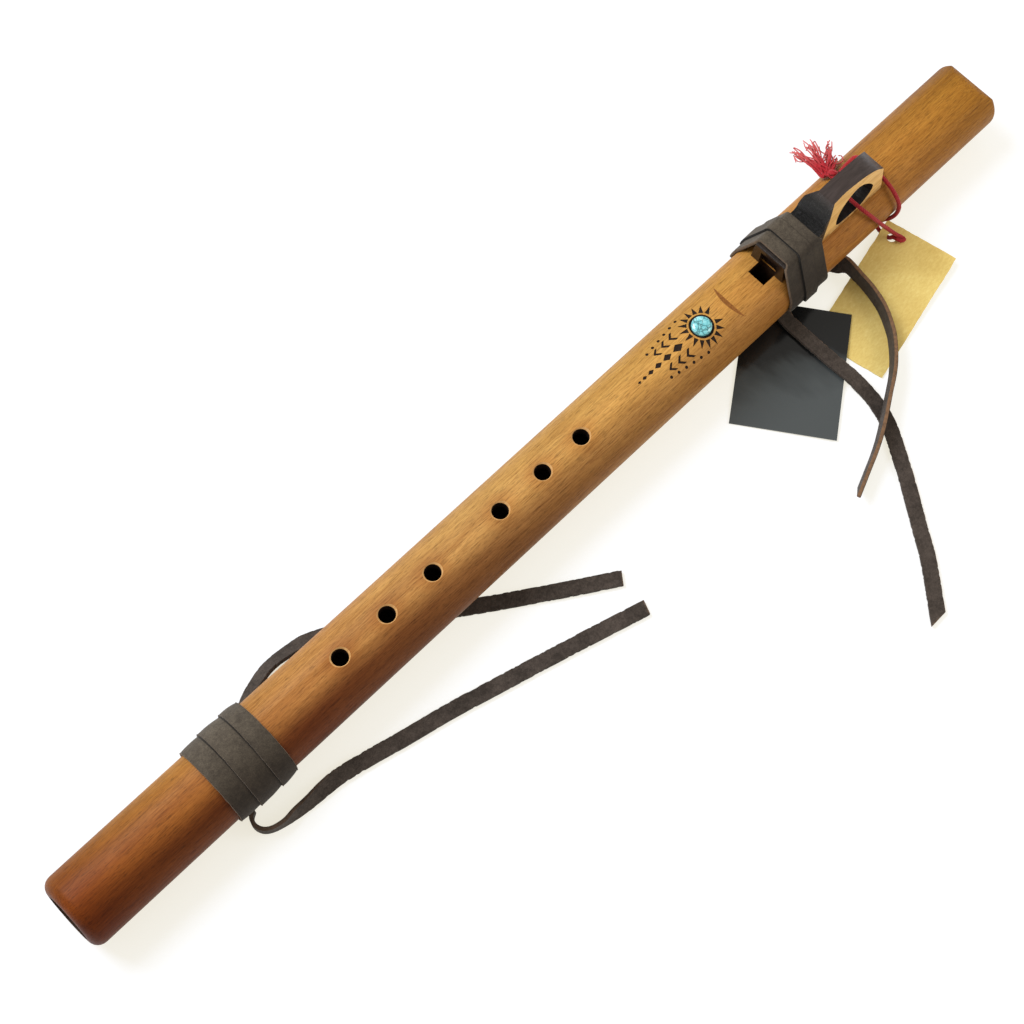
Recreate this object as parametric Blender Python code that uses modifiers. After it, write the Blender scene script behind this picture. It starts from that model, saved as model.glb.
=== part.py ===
"""Two-chamber wooden flute with a tied-on block, two leather laces, a red cord and two hang tags.

Metres. +X runs from the open foot to the mouth end, +Y to the side away from the viewer and +Z up.
The flute lies on its two leather wraps, whose flat undersides are at Z = 0. Stations along the
flute are X values, with 0 at the middle of its length.
"""

import math

import bmesh
import bpy
from mathutils import Matrix, Vector

# Tube
BODY_LENGTH = 0.539
BODY_WIDTH = 0.034
BODY_HEIGHT = 0.0308
FOOT_ROUNDING = 0.0050
FOOT_SLANT = 0.0017
MOUTH_ROUNDING = 0.0030
MOUTH_EASE_LENGTH = 0.0140
TUBE_STEPS = 72

# Hollows inside the tube
TUBE_WALL = 0.0059
PLUG_LENGTH = 0.026
MOUTH_WALL = 0.0122
MOUTH_HOLE_RADIUS = 0.0045
MOUTH_LIP = 0.0019
FOOT_OPENING_RADIUS = 0.0114
FOOT_FLARE_DEPTH = 0.0040
BORE_STEPS = 40

# Finger holes
HOLE_STATIONS = (-0.1240, -0.0981, -0.0725, -0.0339, -0.0091, 0.0137)
HOLE_RADIUS = 0.0037
HOLE_RIM_RADIUS = 0.0045
HOLE_RIM_DEPTH = 0.0009
HOLE_STEPS = 28

# Nest: the flat that carries the block, with its sound hole, flue and exit hole
SOUND_HOLE_START = 0.1223
SOUND_HOLE_LENGTH = 0.0090
SOUND_HOLE_WIDTH = 0.0092
NEST_DEPTH = 0.0028
NEST_AHEAD = 0.0167
NEST_BEHIND = 0.0035
NEST_FRONT_RUNOUT = 0.0034
NEST_REAR_RUNOUT = 0.0029
LIP_THICKNESS = 0.0009
LIP_ANGLE = math.radians(31.0)
FLUE_DEPTH = 0.0009
EXIT_HOLE_LENGTH = 0.0060
EXIT_HOLE_SETBACK = 0.0050

# Block
BLOCK_SETBACK = 0.0065
BLOCK_LENGTH = 0.0667
BLOCK_BASE_WIDTH = 0.0184
BLOCK_SIDE_LEAN = 0.078
SADDLE_LENGTH = 0.0252
SADDLE_HEIGHT = 0.0116
SHOULDER_FILLET = 0.0020
CHIMNEY_DEPTH = 0.0025
CHIMNEY_LINTEL = 0.0031
RING_FRONT_HEIGHT = 0.0210
RING_CREST_HEIGHT = 0.0226
RING_CREST_SETBACK = 0.0161
RING_REAR_HEIGHT = 0.0140
RING_BASE_WIDTH = 0.0160
RING_SIDE_LEAN = 0.160
RING_SIDE_RUNOUT = 0.0022
RING_FRONT_WALL = 0.0112
RING_REAR_WALL = 0.0063
RING_TOP_WALL = 0.0058
RING_FLOOR = 0.0016

# Stone
STONE_STATION = 0.0874
STONE_RADIUS = 0.0046
STONE_THICKNESS = 0.0028
STONE_SEAT_DEPTH = 0.0015
STONE_STEPS = 36

# Leather laces
LACE_THICKNESS = 0.0013
LACE_OVERLAP_RISE = 0.0011
LACE_PRESS = 0.0003
WRAP_POINTS = 72
FOOT_WRAP_START = -0.1951
FOOT_TURNS = (0.0098, 0.0114, 0.0089)
TAIL_WIDTH = 0.0072
REAR_TAIL_WIDTH = 0.0086
TAIL_THICKNESS = 0.0018
TAIL_POINT_COUNT = 48

# Edges of the block's lace behind the block's front: on top, near side, far side, underneath
BLOCK_WRAP_FRONT = (0.0017, -0.0018, -0.0010, 0.0087)
BLOCK_WRAP_FIRST_SEAM = (0.0082, 0.0072, 0.0067, 0.0132)
BLOCK_WRAP_SECOND_SEAM = (0.0162, 0.0152, 0.0152, 0.0187)
BLOCK_WRAP_REAR = (0.0212, 0.0234, 0.0217, 0.0242)

# Cord and tags
CORD_DIAMETER = 0.0020
CORD_POINT_COUNT = 78
KNOT_RADIUS = 0.0022
STRAND_RADIUS = 0.0011
TAG_THICKNESS = 0.0005
FLOOR_GAP = 0.0002
TAG_HOLE_RADIUS = 0.0022
GOLD_TAG_SIZE = (0.0695, 0.0361)
GOLD_TAG_CENTRE = (0.1711, -0.0402)
GOLD_TAG_TURN = math.radians(12.9)
GOLD_TAG_LIFTS = (0.0032, 0.0)
GOLD_TAG_HOLE = (0.0277, 0.0120)
DARK_TAG_SIZE = (0.0614, 0.0478)
DARK_TAG_CENTRE = (0.1150, -0.0342)
DARK_TAG_TURN = math.radians(35.9)
DARK_TAG_LIFTS = (0.0011, -0.0007)
DARK_TAG_HOLE = (0.0243, 0.0179)

# Clearance between touching pieces, and the reach of a cut past what it cuts
FIT_GAP = 0.0003
CUT_PAST = 0.004

# Worked out from the sizes above
WRAP_LIFT = FIT_GAP + LACE_THICKNESS + LACE_OVERLAP_RISE - LACE_PRESS
AXIS_HEIGHT = BODY_HEIGHT / 2 + WRAP_LIFT
BODY_TOP = AXIS_HEIGHT + BODY_HEIGHT / 2
NEST_HEIGHT = BODY_TOP - NEST_DEPTH
BORE_RADIUS = BODY_HEIGHT / 2 - TUBE_WALL
FOOT_END = -BODY_LENGTH / 2
MOUTH_END = BODY_LENGTH / 2
MOUTH_EASE_DEPTH = BODY_HEIGHT / 2 - MOUTH_HOLE_RADIUS - MOUTH_LIP
SOUND_HOLE_END = SOUND_HOLE_START + SOUND_HOLE_LENGTH
CHAMBER_START = SOUND_HOLE_END + PLUG_LENGTH
CHAMBER_END = MOUTH_END - MOUTH_WALL
EXIT_HOLE_START = CHAMBER_START + EXIT_HOLE_SETBACK
BLOCK_START = SOUND_HOLE_START + BLOCK_SETBACK
BLOCK_END = BLOCK_START + BLOCK_LENGTH
BLOCK_BASE = NEST_HEIGHT + FIT_GAP
RING_START = BLOCK_START + SADDLE_LENGTH
NEST_START = SOUND_HOLE_START - NEST_AHEAD
NEST_END = BLOCK_END + NEST_BEHIND

# Routes of the lace tails and the cord: points (X, Y, Z) of their centre lines, and for a lace
# the angle in degrees by which it is turned up from lying flat
BLOCK_TAIL_REAR = (
    (0.1640, -0.0045, 0.0012, 0), (0.1652, -0.0075, 0.0013, 2), (0.1664, -0.0110, 0.0019, 8),
    (0.1675, -0.0143, 0.0036, 30), (0.1687, -0.0182, 0.0063, 74), (0.1677, -0.0262, 0.0073, 85),
    (0.1667, -0.0344, 0.0069, 85), (0.1642, -0.0432, 0.0068, 85), (0.1602, -0.0509, 0.0067, 85),
    (0.1550, -0.0580, 0.0066, 85), (0.1454, -0.0668, 0.0065, 85), (0.1327, -0.0747, 0.0068, 85),
    (0.1200, -0.0823, 0.0070, 85), (0.1108, -0.0871, 0.0057, 85), (0.1004, -0.0914, 0.0048, 85),
    (0.0916, -0.0950, 0.0046, 85),
)
BLOCK_TAIL_FRONT = (
    (0.1318, -0.0128, 0.0034, 0), (0.1302, -0.0175, 0.0034, 0), (0.1301, -0.0253, 0.0032, 0),
    (0.1301, -0.0331, 0.0033, 0), (0.1302, -0.0426, 0.0033, 0), (0.1306, -0.0521, 0.0034, 0),
    (0.1308, -0.0562, 0.0033, 0), (0.1309, -0.0621, 0.0021, 0), (0.1300, -0.0714, 0.0013, 0),
    (0.1263, -0.0824, 0.0013, 0), (0.1197, -0.0938, 0.0013, 0), (0.1118, -0.1063, 0.0013, 0),
    (0.0991, -0.1249, 0.0013, 0), (0.0913, -0.1363, 0.0013, 0), (0.0744, -0.1567, 0.0013, 0),
)
FOOT_TAIL_FAR = (
    (-0.1632, 0.0184, 0.0035, -44), (-0.1581, 0.0207, 0.0033, -42),
    (-0.1540, 0.0222, 0.0032, -40), (-0.1458, 0.0243, 0.0032, -39),
    (-0.1405, 0.0246, 0.0032, -39), (-0.1357, 0.0242, 0.0031, -37),
    (-0.1268, 0.0229, 0.0027, -28), (-0.1209, 0.0206, 0.0020, -14),
    (-0.1152, 0.0177, 0.0014, -3), (-0.1040, 0.0112, 0.0012, 0), (-0.0893, 0.0024, 0.0011, 0),
    (-0.0587, -0.0185, 0.0012, 0), (-0.0286, -0.0381, 0.0013, 0), (-0.0091, -0.0503, 0.0013, 0),
)
FOOT_TAIL_NEAR = (
    (-0.1882, -0.0160, 0.0040, 90), (-0.1908, -0.0178, 0.0039, 90),
    (-0.1918, -0.0213, 0.0039, 90), (-0.1905, -0.0246, 0.0039, 90),
    (-0.1872, -0.0269, 0.0039, 90), (-0.1819, -0.0282, 0.0039, 85),
    (-0.1762, -0.0285, 0.0039, 68), (-0.1693, -0.0289, 0.0038, 56),
    (-0.1612, -0.0289, 0.0032, 38), (-0.1530, -0.0294, 0.0025, 24),
    (-0.1392, -0.0322, 0.0017, 9),
    (-0.1239, -0.0360, 0.0013, 0), (-0.1006, -0.0414, 0.0013, 0), (-0.0777, -0.0477, 0.0013, 0),
    (-0.0469, -0.0562, 0.0013, 0), (-0.0110, -0.0666, 0.0013, 0),
)
CORD_ROUTE = (
    (0.1820, 0.0088, 0.0336), (0.1810, 0.0068, 0.0339), (0.1797, 0.0020, 0.0343),
    (0.1790, -0.0040, 0.0345), (0.1792, -0.0092, 0.0342), (0.1814, -0.0137, 0.0308),
    (0.1858, -0.0172, 0.0235), (0.1915, -0.0201, 0.0142), (0.1956, -0.0234, 0.0080),
    (0.1977, -0.0257, 0.0056), (0.1979, -0.0273, 0.0053), (0.1963, -0.0268, 0.0055),
    (0.1955, -0.0248, 0.0056), (0.1954, -0.0229, 0.0049), (0.1954, -0.0221, 0.0033),
    (0.1954, -0.0210, 0.0018), (0.1953, -0.0185, 0.0013), (0.1955, -0.0150, 0.0013),
    (0.1961, -0.0133, 0.0023), (0.1970, -0.0133, 0.0045), (0.1978, -0.0146, 0.0072),
    (0.1982, -0.0168, 0.0110), (0.1986, -0.0184, 0.0165), (0.1985, -0.0185, 0.0228),
    (0.1978, -0.0168, 0.0280), (0.1976, -0.0132, 0.0317), (0.1978, -0.0086, 0.0335),
    (0.1981, -0.0040, 0.0339), (0.1982, 0.0020, 0.0342), (0.1984, 0.0062, 0.0338),
    (0.1972, 0.0094, 0.0332), (0.1938, 0.0099, 0.0326), (0.1866, 0.0093, 0.0326),
)
KNOT_CENTRE = (0.1838, 0.0108, 0.0330)
TASSEL_TIPS = (
    (0.1859, 0.0352, 0.0205), (0.1971, 0.0355, 0.0210), (0.2002, 0.0258, 0.0250),
    (0.1962, 0.0188, 0.0285),
)


def new_collection(name):
    collection = bpy.data.collections.new(name)
    bpy.context.scene.collection.children.link(collection)
    return collection


def new_material(name, colour, roughness, metallic=0.0):
    material = bpy.data.materials.new(name)
    material.use_nodes = True
    shader = material.node_tree.nodes["Principled BSDF"]
    shader.inputs["Base Color"].default_value = (*colour, 1.0)
    shader.inputs["Roughness"].default_value = roughness
    shader.inputs["Metallic"].default_value = metallic
    return material


def new_object(name, mesh, collection, material=None):
    piece = bpy.data.objects.new(name, mesh)
    collection.objects.link(piece)
    if material:
        mesh.materials.clear()
        mesh.materials.append(material)
    return piece


def new_cutter(name, mesh, collection):
    cutter = new_object(name, mesh, collection)
    cutter.hide_render = True
    cutter.display_type = "WIRE"
    return cutter


def boolean(piece, cutter, operation="DIFFERENCE"):
    modifier = piece.modifiers.new(cutter.name, "BOOLEAN")
    modifier.operation = operation
    modifier.object = cutter
    modifier.solver = "EXACT"


def tidy_mesh(mesh):
    """Welds loose caps and turns the faces outwards."""
    work = bmesh.new()
    work.from_mesh(mesh)
    bmesh.ops.remove_doubles(work, verts=work.verts, dist=1e-6)
    bmesh.ops.recalc_face_normals(work, faces=work.faces)
    work.to_mesh(mesh)
    work.free()


def evaluated_mesh(piece):
    """The mesh of a curve or a modified object, with that object removed."""
    graph = bpy.context.evaluated_depsgraph_get()
    mesh = bpy.data.meshes.new_from_object(piece.evaluated_get(graph))
    mesh.transform(piece.matrix_world)
    bpy.data.objects.remove(piece)
    tidy_mesh(mesh)
    return mesh


def shade_by_angle(piece, angle=math.radians(32.0)):
    """Rounded faces look smooth, and edges sharper than this angle stay crisp."""
    nodes = bpy.data.node_groups.get("shade_by_angle")
    if not nodes:
        nodes = bpy.data.node_groups.new("shade_by_angle", "GeometryNodeTree")
        nodes.interface.new_socket("Mesh", in_out="INPUT", socket_type="NodeSocketGeometry")
        nodes.interface.new_socket("Mesh", in_out="OUTPUT", socket_type="NodeSocketGeometry")
        entry = nodes.nodes.new("NodeGroupInput")
        result = nodes.nodes.new("NodeGroupOutput")
        faces = nodes.nodes.new("GeometryNodeSetShadeSmooth")
        edges = nodes.nodes.new("GeometryNodeSetShadeSmooth")
        edges.domain = "EDGE"
        bend = nodes.nodes.new("GeometryNodeInputMeshEdgeAngle")
        gentle = nodes.nodes.new("FunctionNodeCompare")
        gentle.operation = "LESS_THAN"
        gentle.inputs["B"].default_value = angle
        nodes.links.new(entry.outputs["Mesh"], faces.inputs["Geometry"])
        nodes.links.new(faces.outputs["Geometry"], edges.inputs["Geometry"])
        nodes.links.new(bend.outputs["Unsigned Angle"], gentle.inputs["A"])
        nodes.links.new(gentle.outputs["Result"], edges.inputs["Shade Smooth"])
        nodes.links.new(edges.outputs["Geometry"], result.inputs["Mesh"])
    piece.modifiers.new("shade_by_angle", "NODES").node_group = nodes


def outline_along_x(outlines, start, end):
    """A solid whose outlines are (Y, Z) points, from one station to another."""
    turn = Matrix(((0, 0, 1), (1, 0, 0), (0, 1, 0))).to_4x4()
    return extruded(outlines, Matrix.Translation(((start + end) / 2, 0, 0)) @ turn, end - start)


def outline_across_y(outlines, width):
    """A solid whose outlines are (X, Z) points, with its width centred on Y = 0."""
    turn = Matrix(((1, 0, 0), (0, 0, -1), (0, 1, 0))).to_4x4()
    return extruded(outlines, turn, width)


def extruded(outlines, placing, thickness):
    curve = bpy.data.curves.new("outline", "CURVE")
    curve.dimensions = "2D"
    curve.fill_mode = "BOTH"
    curve.extrude = thickness / 2
    for outline in outlines:
        spline = curve.splines.new("POLY")
        spline.points.add(len(outline) - 1)
        for point, (across, up) in zip(spline.points, outline):
            point.co = (across, up, 0.0, 1.0)
        spline.use_cyclic_u = True
    piece = bpy.data.objects.new("outline", curve)
    bpy.context.scene.collection.objects.link(piece)
    piece.matrix_world = placing
    bpy.context.view_layer.update()
    return evaluated_mesh(piece)


def box_mesh(low, high):
    bpy.ops.mesh.primitive_cube_add(size=1.0)
    cube = bpy.context.object
    size = Vector(high) - Vector(low)
    centre = (Vector(high) + Vector(low)) / 2
    cube.matrix_world = Matrix.Translation(centre) @ Matrix.Diagonal((*size, 1.0))
    bpy.context.view_layer.update()
    return evaluated_mesh(cube)


def rod_mesh(radius, start, end, steps, end_radius=None):
    """A round rod or cone from one point to another."""
    start = Vector(start)
    end = Vector(end)
    bpy.ops.mesh.primitive_cone_add(
        vertices=steps,
        radius1=radius,
        radius2=radius if end_radius is None else end_radius,
        depth=(end - start).length,
    )
    cone = bpy.context.object
    turn = (end - start).to_track_quat("Z", "Y").to_matrix().to_4x4()
    cone.matrix_world = Matrix.Translation((start + end) / 2) @ turn
    bpy.context.view_layer.update()
    return evaluated_mesh(cone)


def turned_mesh(profile, steps):
    """A turned solid about Z. The profile's (radius, height) points run from top to bottom."""
    mesh = bpy.data.meshes.new("profile")
    points = [(radius, 0.0, height) for radius, height in profile]
    mesh.from_pydata(points, [(i, i + 1) for i in range(len(points) - 1)], [])
    piece = bpy.data.objects.new("profile", mesh)
    bpy.context.scene.collection.objects.link(piece)
    screw = piece.modifiers.new("turn", "SCREW")
    screw.steps = steps
    screw.render_steps = steps
    screw.use_merge_vertices = True
    screw.merge_threshold = 1e-5
    bpy.context.view_layer.update()
    return evaluated_mesh(piece)


def arc(centre, radius, first, last, count):
    """Points of a round corner, with its angles in degrees from the first axis."""
    angles = [math.radians(first + (last - first) * i / count) for i in range(count + 1)]
    return [
        (centre[0] + radius * math.cos(angle), centre[1] + radius * math.sin(angle))
        for angle in angles
    ]


def smooth_path(route, count, closed=False):
    """Evenly spaced points on a smooth curve through the route's own points."""
    points = [Vector(point) for point in route]
    if closed:
        points = [points[-1], *points, points[0], points[1]]
    else:
        points = [2 * points[0] - points[1], *points, 2 * points[-1] - points[-2]]
    fine = []
    for before, start, end, after in zip(points, points[1:], points[2:], points[3:]):
        for step in range(16):
            t = step / 16
            fine.append(
                0.5 * (
                    2 * start
                    + (end - before) * t
                    + (2 * before - 5 * start + 4 * end - after) * t**2
                    + (3 * start - before - 3 * end + after) * t**3
                )
            )
    fine.append(points[-2])
    lengths = [0.0]
    for first, second in zip(fine, fine[1:]):
        lengths.append(lengths[-1] + (second - first).xyz.length)
    result = []
    index = 0
    for step in range(count):
        wanted = lengths[-1] * step / (count - 1)
        while index < len(fine) - 2 and lengths[index + 1] < wanted:
            index += 1
        part = (wanted - lengths[index]) / (lengths[index + 1] - lengths[index])
        result.append(fine[index].lerp(fine[index + 1], part))
    return result[:-1] if closed else result


def path_curve(name, points, radii=None):
    curve = bpy.data.curves.new(name, "CURVE")
    curve.dimensions = "3D"
    curve.use_fill_caps = True
    spline = curve.splines.new("POLY")
    spline.points.add(len(points) - 1)
    for index, (point, place) in enumerate(zip(spline.points, points)):
        point.co = (*place.xyz, 1.0)
        point.radius = radii[index] if radii else 1.0
    return curve


def tube_section():
    """The tube's outer section as (Y, Z) points, counter-clockwise."""
    points = []
    for step in range(WRAP_POINTS):
        angle = 2 * math.pi * step / WRAP_POINTS
        across = BODY_WIDTH / 2 * math.cos(angle)
        points.append((across, AXIS_HEIGHT + BODY_HEIGHT / 2 * math.sin(angle)))
    return points


def tube_blank():
    """The turned tube with rounded ends, pressed to its slightly flat section.

    The foot end is sawn at a slant, so that the top of its flat face stands back.
    """
    radius = BODY_WIDTH / 2
    top = arc((radius - MOUTH_ROUNDING, MOUTH_END - MOUTH_ROUNDING), MOUTH_ROUNDING, 90, 0, 5)
    foot = arc((radius - FOOT_ROUNDING, FOOT_END + FOOT_ROUNDING), FOOT_ROUNDING, 0, -90, 6)
    mesh = turned_mesh([(0.0, MOUTH_END), *top, *foot, (0.0, FOOT_END)], TUBE_STEPS)
    lay_down = Matrix(((0, 0, 1), (0, 1, 0), (-1, 0, 0))).to_4x4()
    press = Matrix.Diagonal((1.0, 1.0, BODY_HEIGHT / BODY_WIDTH, 1.0))
    mesh.transform(Matrix.Translation((0, 0, AXIS_HEIGHT)) @ press @ lay_down)
    face_height = (BODY_WIDTH - 2 * FOOT_ROUNDING) * BODY_HEIGHT / BODY_WIDTH
    for vertex in mesh.vertices:
        if vertex.co.x < 0:
            up = vertex.co.z - AXIS_HEIGHT + face_height / 2
            vertex.co.x += FOOT_SLANT * up / face_height
    tidy_mesh(mesh)
    return mesh


def mouth_ease_cutters(cutters):
    """The waste over and under the mouth end, which is eased to the player's lips."""
    made = []
    start = MOUTH_END - MOUTH_EASE_LENGTH
    outer = BODY_HEIGHT / 2 + CUT_PAST
    for side, word in ((1, "over"), (-1, "under")):
        curve = []
        for step in range(10):
            angle = math.radians(90 * step / 9)
            drop = MOUTH_EASE_DEPTH * (1 - math.cos(angle))
            rise = BODY_HEIGHT / 2 - drop
            curve.append((start + MOUTH_EASE_LENGTH * math.sin(angle), AXIS_HEIGHT + side * rise))
        curve[-1] = (MOUTH_END + CUT_PAST, curve[-1][1])
        outline = [
            (start, AXIS_HEIGHT + side * outer), *curve,
            (MOUTH_END + CUT_PAST, AXIS_HEIGHT + side * outer),
        ]
        mesh = outline_across_y([outline], BODY_WIDTH + CUT_PAST)
        made.append(new_cutter(f"cut_mouth_{word}", mesh, cutters))
    return made


def bore_cutters(cutters):
    """Sound chamber with its flared foot, slow air chamber and mouth hole, all on one axis."""
    def axis_rod(name, radius, start, end):
        mesh = rod_mesh(radius, (start, 0, AXIS_HEIGHT), (end, 0, AXIS_HEIGHT), BORE_STEPS)
        return new_cutter(name, mesh, cutters)

    spread = (FOOT_OPENING_RADIUS - BORE_RADIUS) / FOOT_FLARE_DEPTH
    flare = rod_mesh(
        BORE_RADIUS - spread * CUT_PAST,
        (FOOT_END + FOOT_FLARE_DEPTH + CUT_PAST, 0, AXIS_HEIGHT),
        (FOOT_END - CUT_PAST, 0, AXIS_HEIGHT),
        BORE_STEPS,
        FOOT_OPENING_RADIUS + spread * CUT_PAST,
    )
    axis = Matrix.Translation((0, 0, AXIS_HEIGHT))
    flare.transform(axis @ Matrix.Diagonal((1, 1, BODY_HEIGHT / BODY_WIDTH, 1)) @ axis.inverted())
    return [
        axis_rod("cut_sound_chamber", BORE_RADIUS, FOOT_END - CUT_PAST, SOUND_HOLE_END),
        new_cutter("cut_foot_flare", flare, cutters),
        axis_rod("cut_air_chamber", BORE_RADIUS, CHAMBER_START, CHAMBER_END),
        axis_rod("cut_mouth_hole", MOUTH_HOLE_RADIUS, CHAMBER_END - CUT_PAST, MOUTH_END + CUT_PAST),
    ]


def nest_cutters(cutters):
    """The nest flat with its run-outs, the flue, the exit hole and the sound hole with its lip."""
    past = BODY_TOP + CUT_PAST
    start_rise = (past - NEST_HEIGHT) * NEST_FRONT_RUNOUT / NEST_DEPTH
    end_rise = (past - NEST_HEIGHT) * NEST_REAR_RUNOUT / NEST_DEPTH
    flat = [
        (NEST_START, NEST_HEIGHT), (NEST_END, NEST_HEIGHT),
        (NEST_END + end_rise, past), (NEST_START - start_rise, past),
    ]
    lip_edge = NEST_HEIGHT - LIP_THICKNESS
    lip_root = AXIS_HEIGHT + BORE_RADIUS / 2
    lip_reach = (lip_edge - lip_root) / math.tan(LIP_ANGLE)
    sound_hole = [
        (SOUND_HOLE_START, past), (SOUND_HOLE_START, lip_edge),
        (SOUND_HOLE_START - lip_reach, lip_root), (SOUND_HOLE_END, lip_root),
        (SOUND_HOLE_END, past),
    ]
    exit_end = EXIT_HOLE_START + EXIT_HOLE_LENGTH
    half = SOUND_HOLE_WIDTH / 2
    return [
        new_cutter("cut_nest", outline_across_y([flat], BODY_WIDTH), cutters),
        new_cutter("cut_sound_hole", outline_across_y([sound_hole], SOUND_HOLE_WIDTH), cutters),
        new_cutter(
            "cut_flue",
            box_mesh(
                (SOUND_HOLE_END - CUT_PAST / 2, -half, NEST_HEIGHT - FLUE_DEPTH),
                (exit_end, half, past),
            ),
            cutters,
        ),
        new_cutter(
            "cut_exit_hole",
            box_mesh((EXIT_HOLE_START, -half, AXIS_HEIGHT), (exit_end, half, past)),
            cutters,
        ),
    ]


def top_cutters(cutters):
    """Finger holes with eased rims, and the flat-bottomed seat of the stone."""
    made = []
    spread = (HOLE_RIM_RADIUS - HOLE_RADIUS) / HOLE_RIM_DEPTH
    top = BODY_TOP + CUT_PAST
    profile = [
        (0.0, top), (HOLE_RADIUS + spread * (HOLE_RIM_DEPTH + CUT_PAST), top),
        (HOLE_RADIUS, BODY_TOP - HOLE_RIM_DEPTH), (HOLE_RADIUS, AXIS_HEIGHT), (0.0, AXIS_HEIGHT),
    ]
    for number, station in enumerate(HOLE_STATIONS, 1):
        hole = turned_mesh(profile, HOLE_STEPS)
        hole.transform(Matrix.Translation((station, 0, 0)))
        made.append(new_cutter(f"cut_finger_hole_{number}", hole, cutters))
    seat = rod_mesh(
        STONE_RADIUS + FIT_GAP,
        (STONE_STATION, 0, BODY_TOP - STONE_SEAT_DEPTH),
        (STONE_STATION, 0, BODY_TOP + CUT_PAST),
        STONE_STEPS,
    )
    made.append(new_cutter("cut_stone_seat", seat, cutters))
    return made


def make_body(parts, cutters, wood):
    """Two glued halves with routed hollows: each is the tube without the other half's side."""
    reach = BODY_LENGTH / 2 + CUT_PAST
    seam_up = AXIS_HEIGHT + FIT_GAP / 2
    seam_down = AXIS_HEIGHT - FIT_GAP / 2
    below = box_mesh((-reach, -BODY_WIDTH, -BODY_HEIGHT), (reach, BODY_WIDTH, seam_up))
    above = box_mesh((-reach, -BODY_WIDTH, seam_down), (reach, BODY_WIDTH, 3 * BODY_HEIGHT))
    lower_side = new_cutter("cut_below_seam", below, cutters)
    upper_side = new_cutter("cut_above_seam", above, cutters)
    bores = bore_cutters(cutters)
    ease_over, ease_under = mouth_ease_cutters(cutters)
    upper_cuts = [ease_over, *bores, *nest_cutters(cutters), *top_cutters(cutters)]
    for name, cuts, other_side in (
        ("upper_body_half", upper_cuts, lower_side),
        ("lower_body_half", [ease_under, *bores], upper_side),
    ):
        half = new_object(name, tube_blank(), parts, wood)
        boolean(half, other_side)
        for cut in cuts:
            boolean(half, cut)
        shade_by_angle(half)


def block_outline():
    """The block's side view: low saddle, concave shoulder and the arch of the ring."""
    base = BLOCK_BASE
    saddle = base + SADDLE_HEIGHT
    shoulder = arc(
        (RING_START - SHOULDER_FILLET, saddle + SHOULDER_FILLET), SHOULDER_FILLET, -90, 0, 5
    )
    front = base + RING_FRONT_HEIGHT
    crest = base + RING_CREST_HEIGHT
    rear = base + RING_REAR_HEIGHT
    crest_station = RING_START + RING_CREST_SETBACK
    rear_run = BLOCK_END - crest_station
    arch = smooth_path(
        (
            (RING_START, front - 0.0042, 0), (RING_START + 0.0012, front - 0.0016, 0),
            (RING_START + 0.0045, front, 0), (crest_station - 0.0060, crest - 0.0007, 0),
            (crest_station, crest, 0), (crest_station + 0.45 * rear_run, crest - 0.0017, 0),
            (crest_station + 0.78 * rear_run, rear + 0.0040, 0), (BLOCK_END, rear, 0),
        ),
        24,
    )
    front_edge = arc((BLOCK_START + 0.0006, saddle - 0.0006), 0.0006, 180, 90, 3)
    return [
        (BLOCK_START, base), *front_edge, *shoulder,
        *[(point.x, point.y) for point in arch], (BLOCK_END, base),
    ][::-1]


def ring_eye_outline():
    """The ring's eye: a low arch on a nearly level base."""
    start = RING_START + RING_FRONT_WALL
    half = (BLOCK_END - RING_REAR_WALL - start) / 2
    centre = start + half
    low = BLOCK_BASE + RING_FLOOR
    tall = RING_CREST_HEIGHT - RING_TOP_WALL - RING_FLOOR
    loop = smooth_path(
        (
            (centre - half, low + 0.24 * tall, 0), (centre - 0.80 * half, low + 0.62 * tall, 0),
            (centre - 0.34 * half, low + 0.90 * tall, 0), (centre + 0.14 * half, low + tall, 0),
            (centre + 0.62 * half, low + 0.80 * tall, 0), (centre + half, low + 0.42 * tall, 0),
            (centre + 0.76 * half, low + 0.15 * tall, 0), (centre + 0.30 * half, low, 0),
            (centre - 0.45 * half, low, 0), (centre - 0.91 * half, low + 0.05 * tall, 0),
        ),
        33,
        closed=True,
    )
    return [(point.x, point.y) for point in loop]


def side_wedges(name, start, end, base_width, lean, cutters, runout=0.0):
    """The waste on both sides of a block whose sides lean in as they rise.

    With a run-out, the cut starts at the block's full width and reaches its base width there.
    """
    made = []
    low = BLOCK_BASE - CUT_PAST
    high = BLOCK_BASE + RING_CREST_HEIGHT + CUT_PAST
    outer = BLOCK_BASE_WIDTH
    for side, word in ((1, "far"), (-1, "near")):
        foot = base_width / 2 + lean * (BLOCK_BASE - low)
        head = base_width / 2 - lean * (high - BLOCK_BASE)
        outline = [
            (side * foot, low), (side * outer, low), (side * outer, high), (side * head, high),
        ]
        mesh = outline_along_x([outline], start, end)
        if runout:
            sweep = Matrix.Identity(4)
            sweep[0][1] = -side * runout / (BLOCK_BASE_WIDTH / 2 - base_width / 2)
            sweep[0][3] = -side * sweep[0][1] * BLOCK_BASE_WIDTH / 2
            mesh.transform(sweep)
        made.append(new_cutter(f"{name}_{word}", mesh, cutters))
    return made


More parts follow.
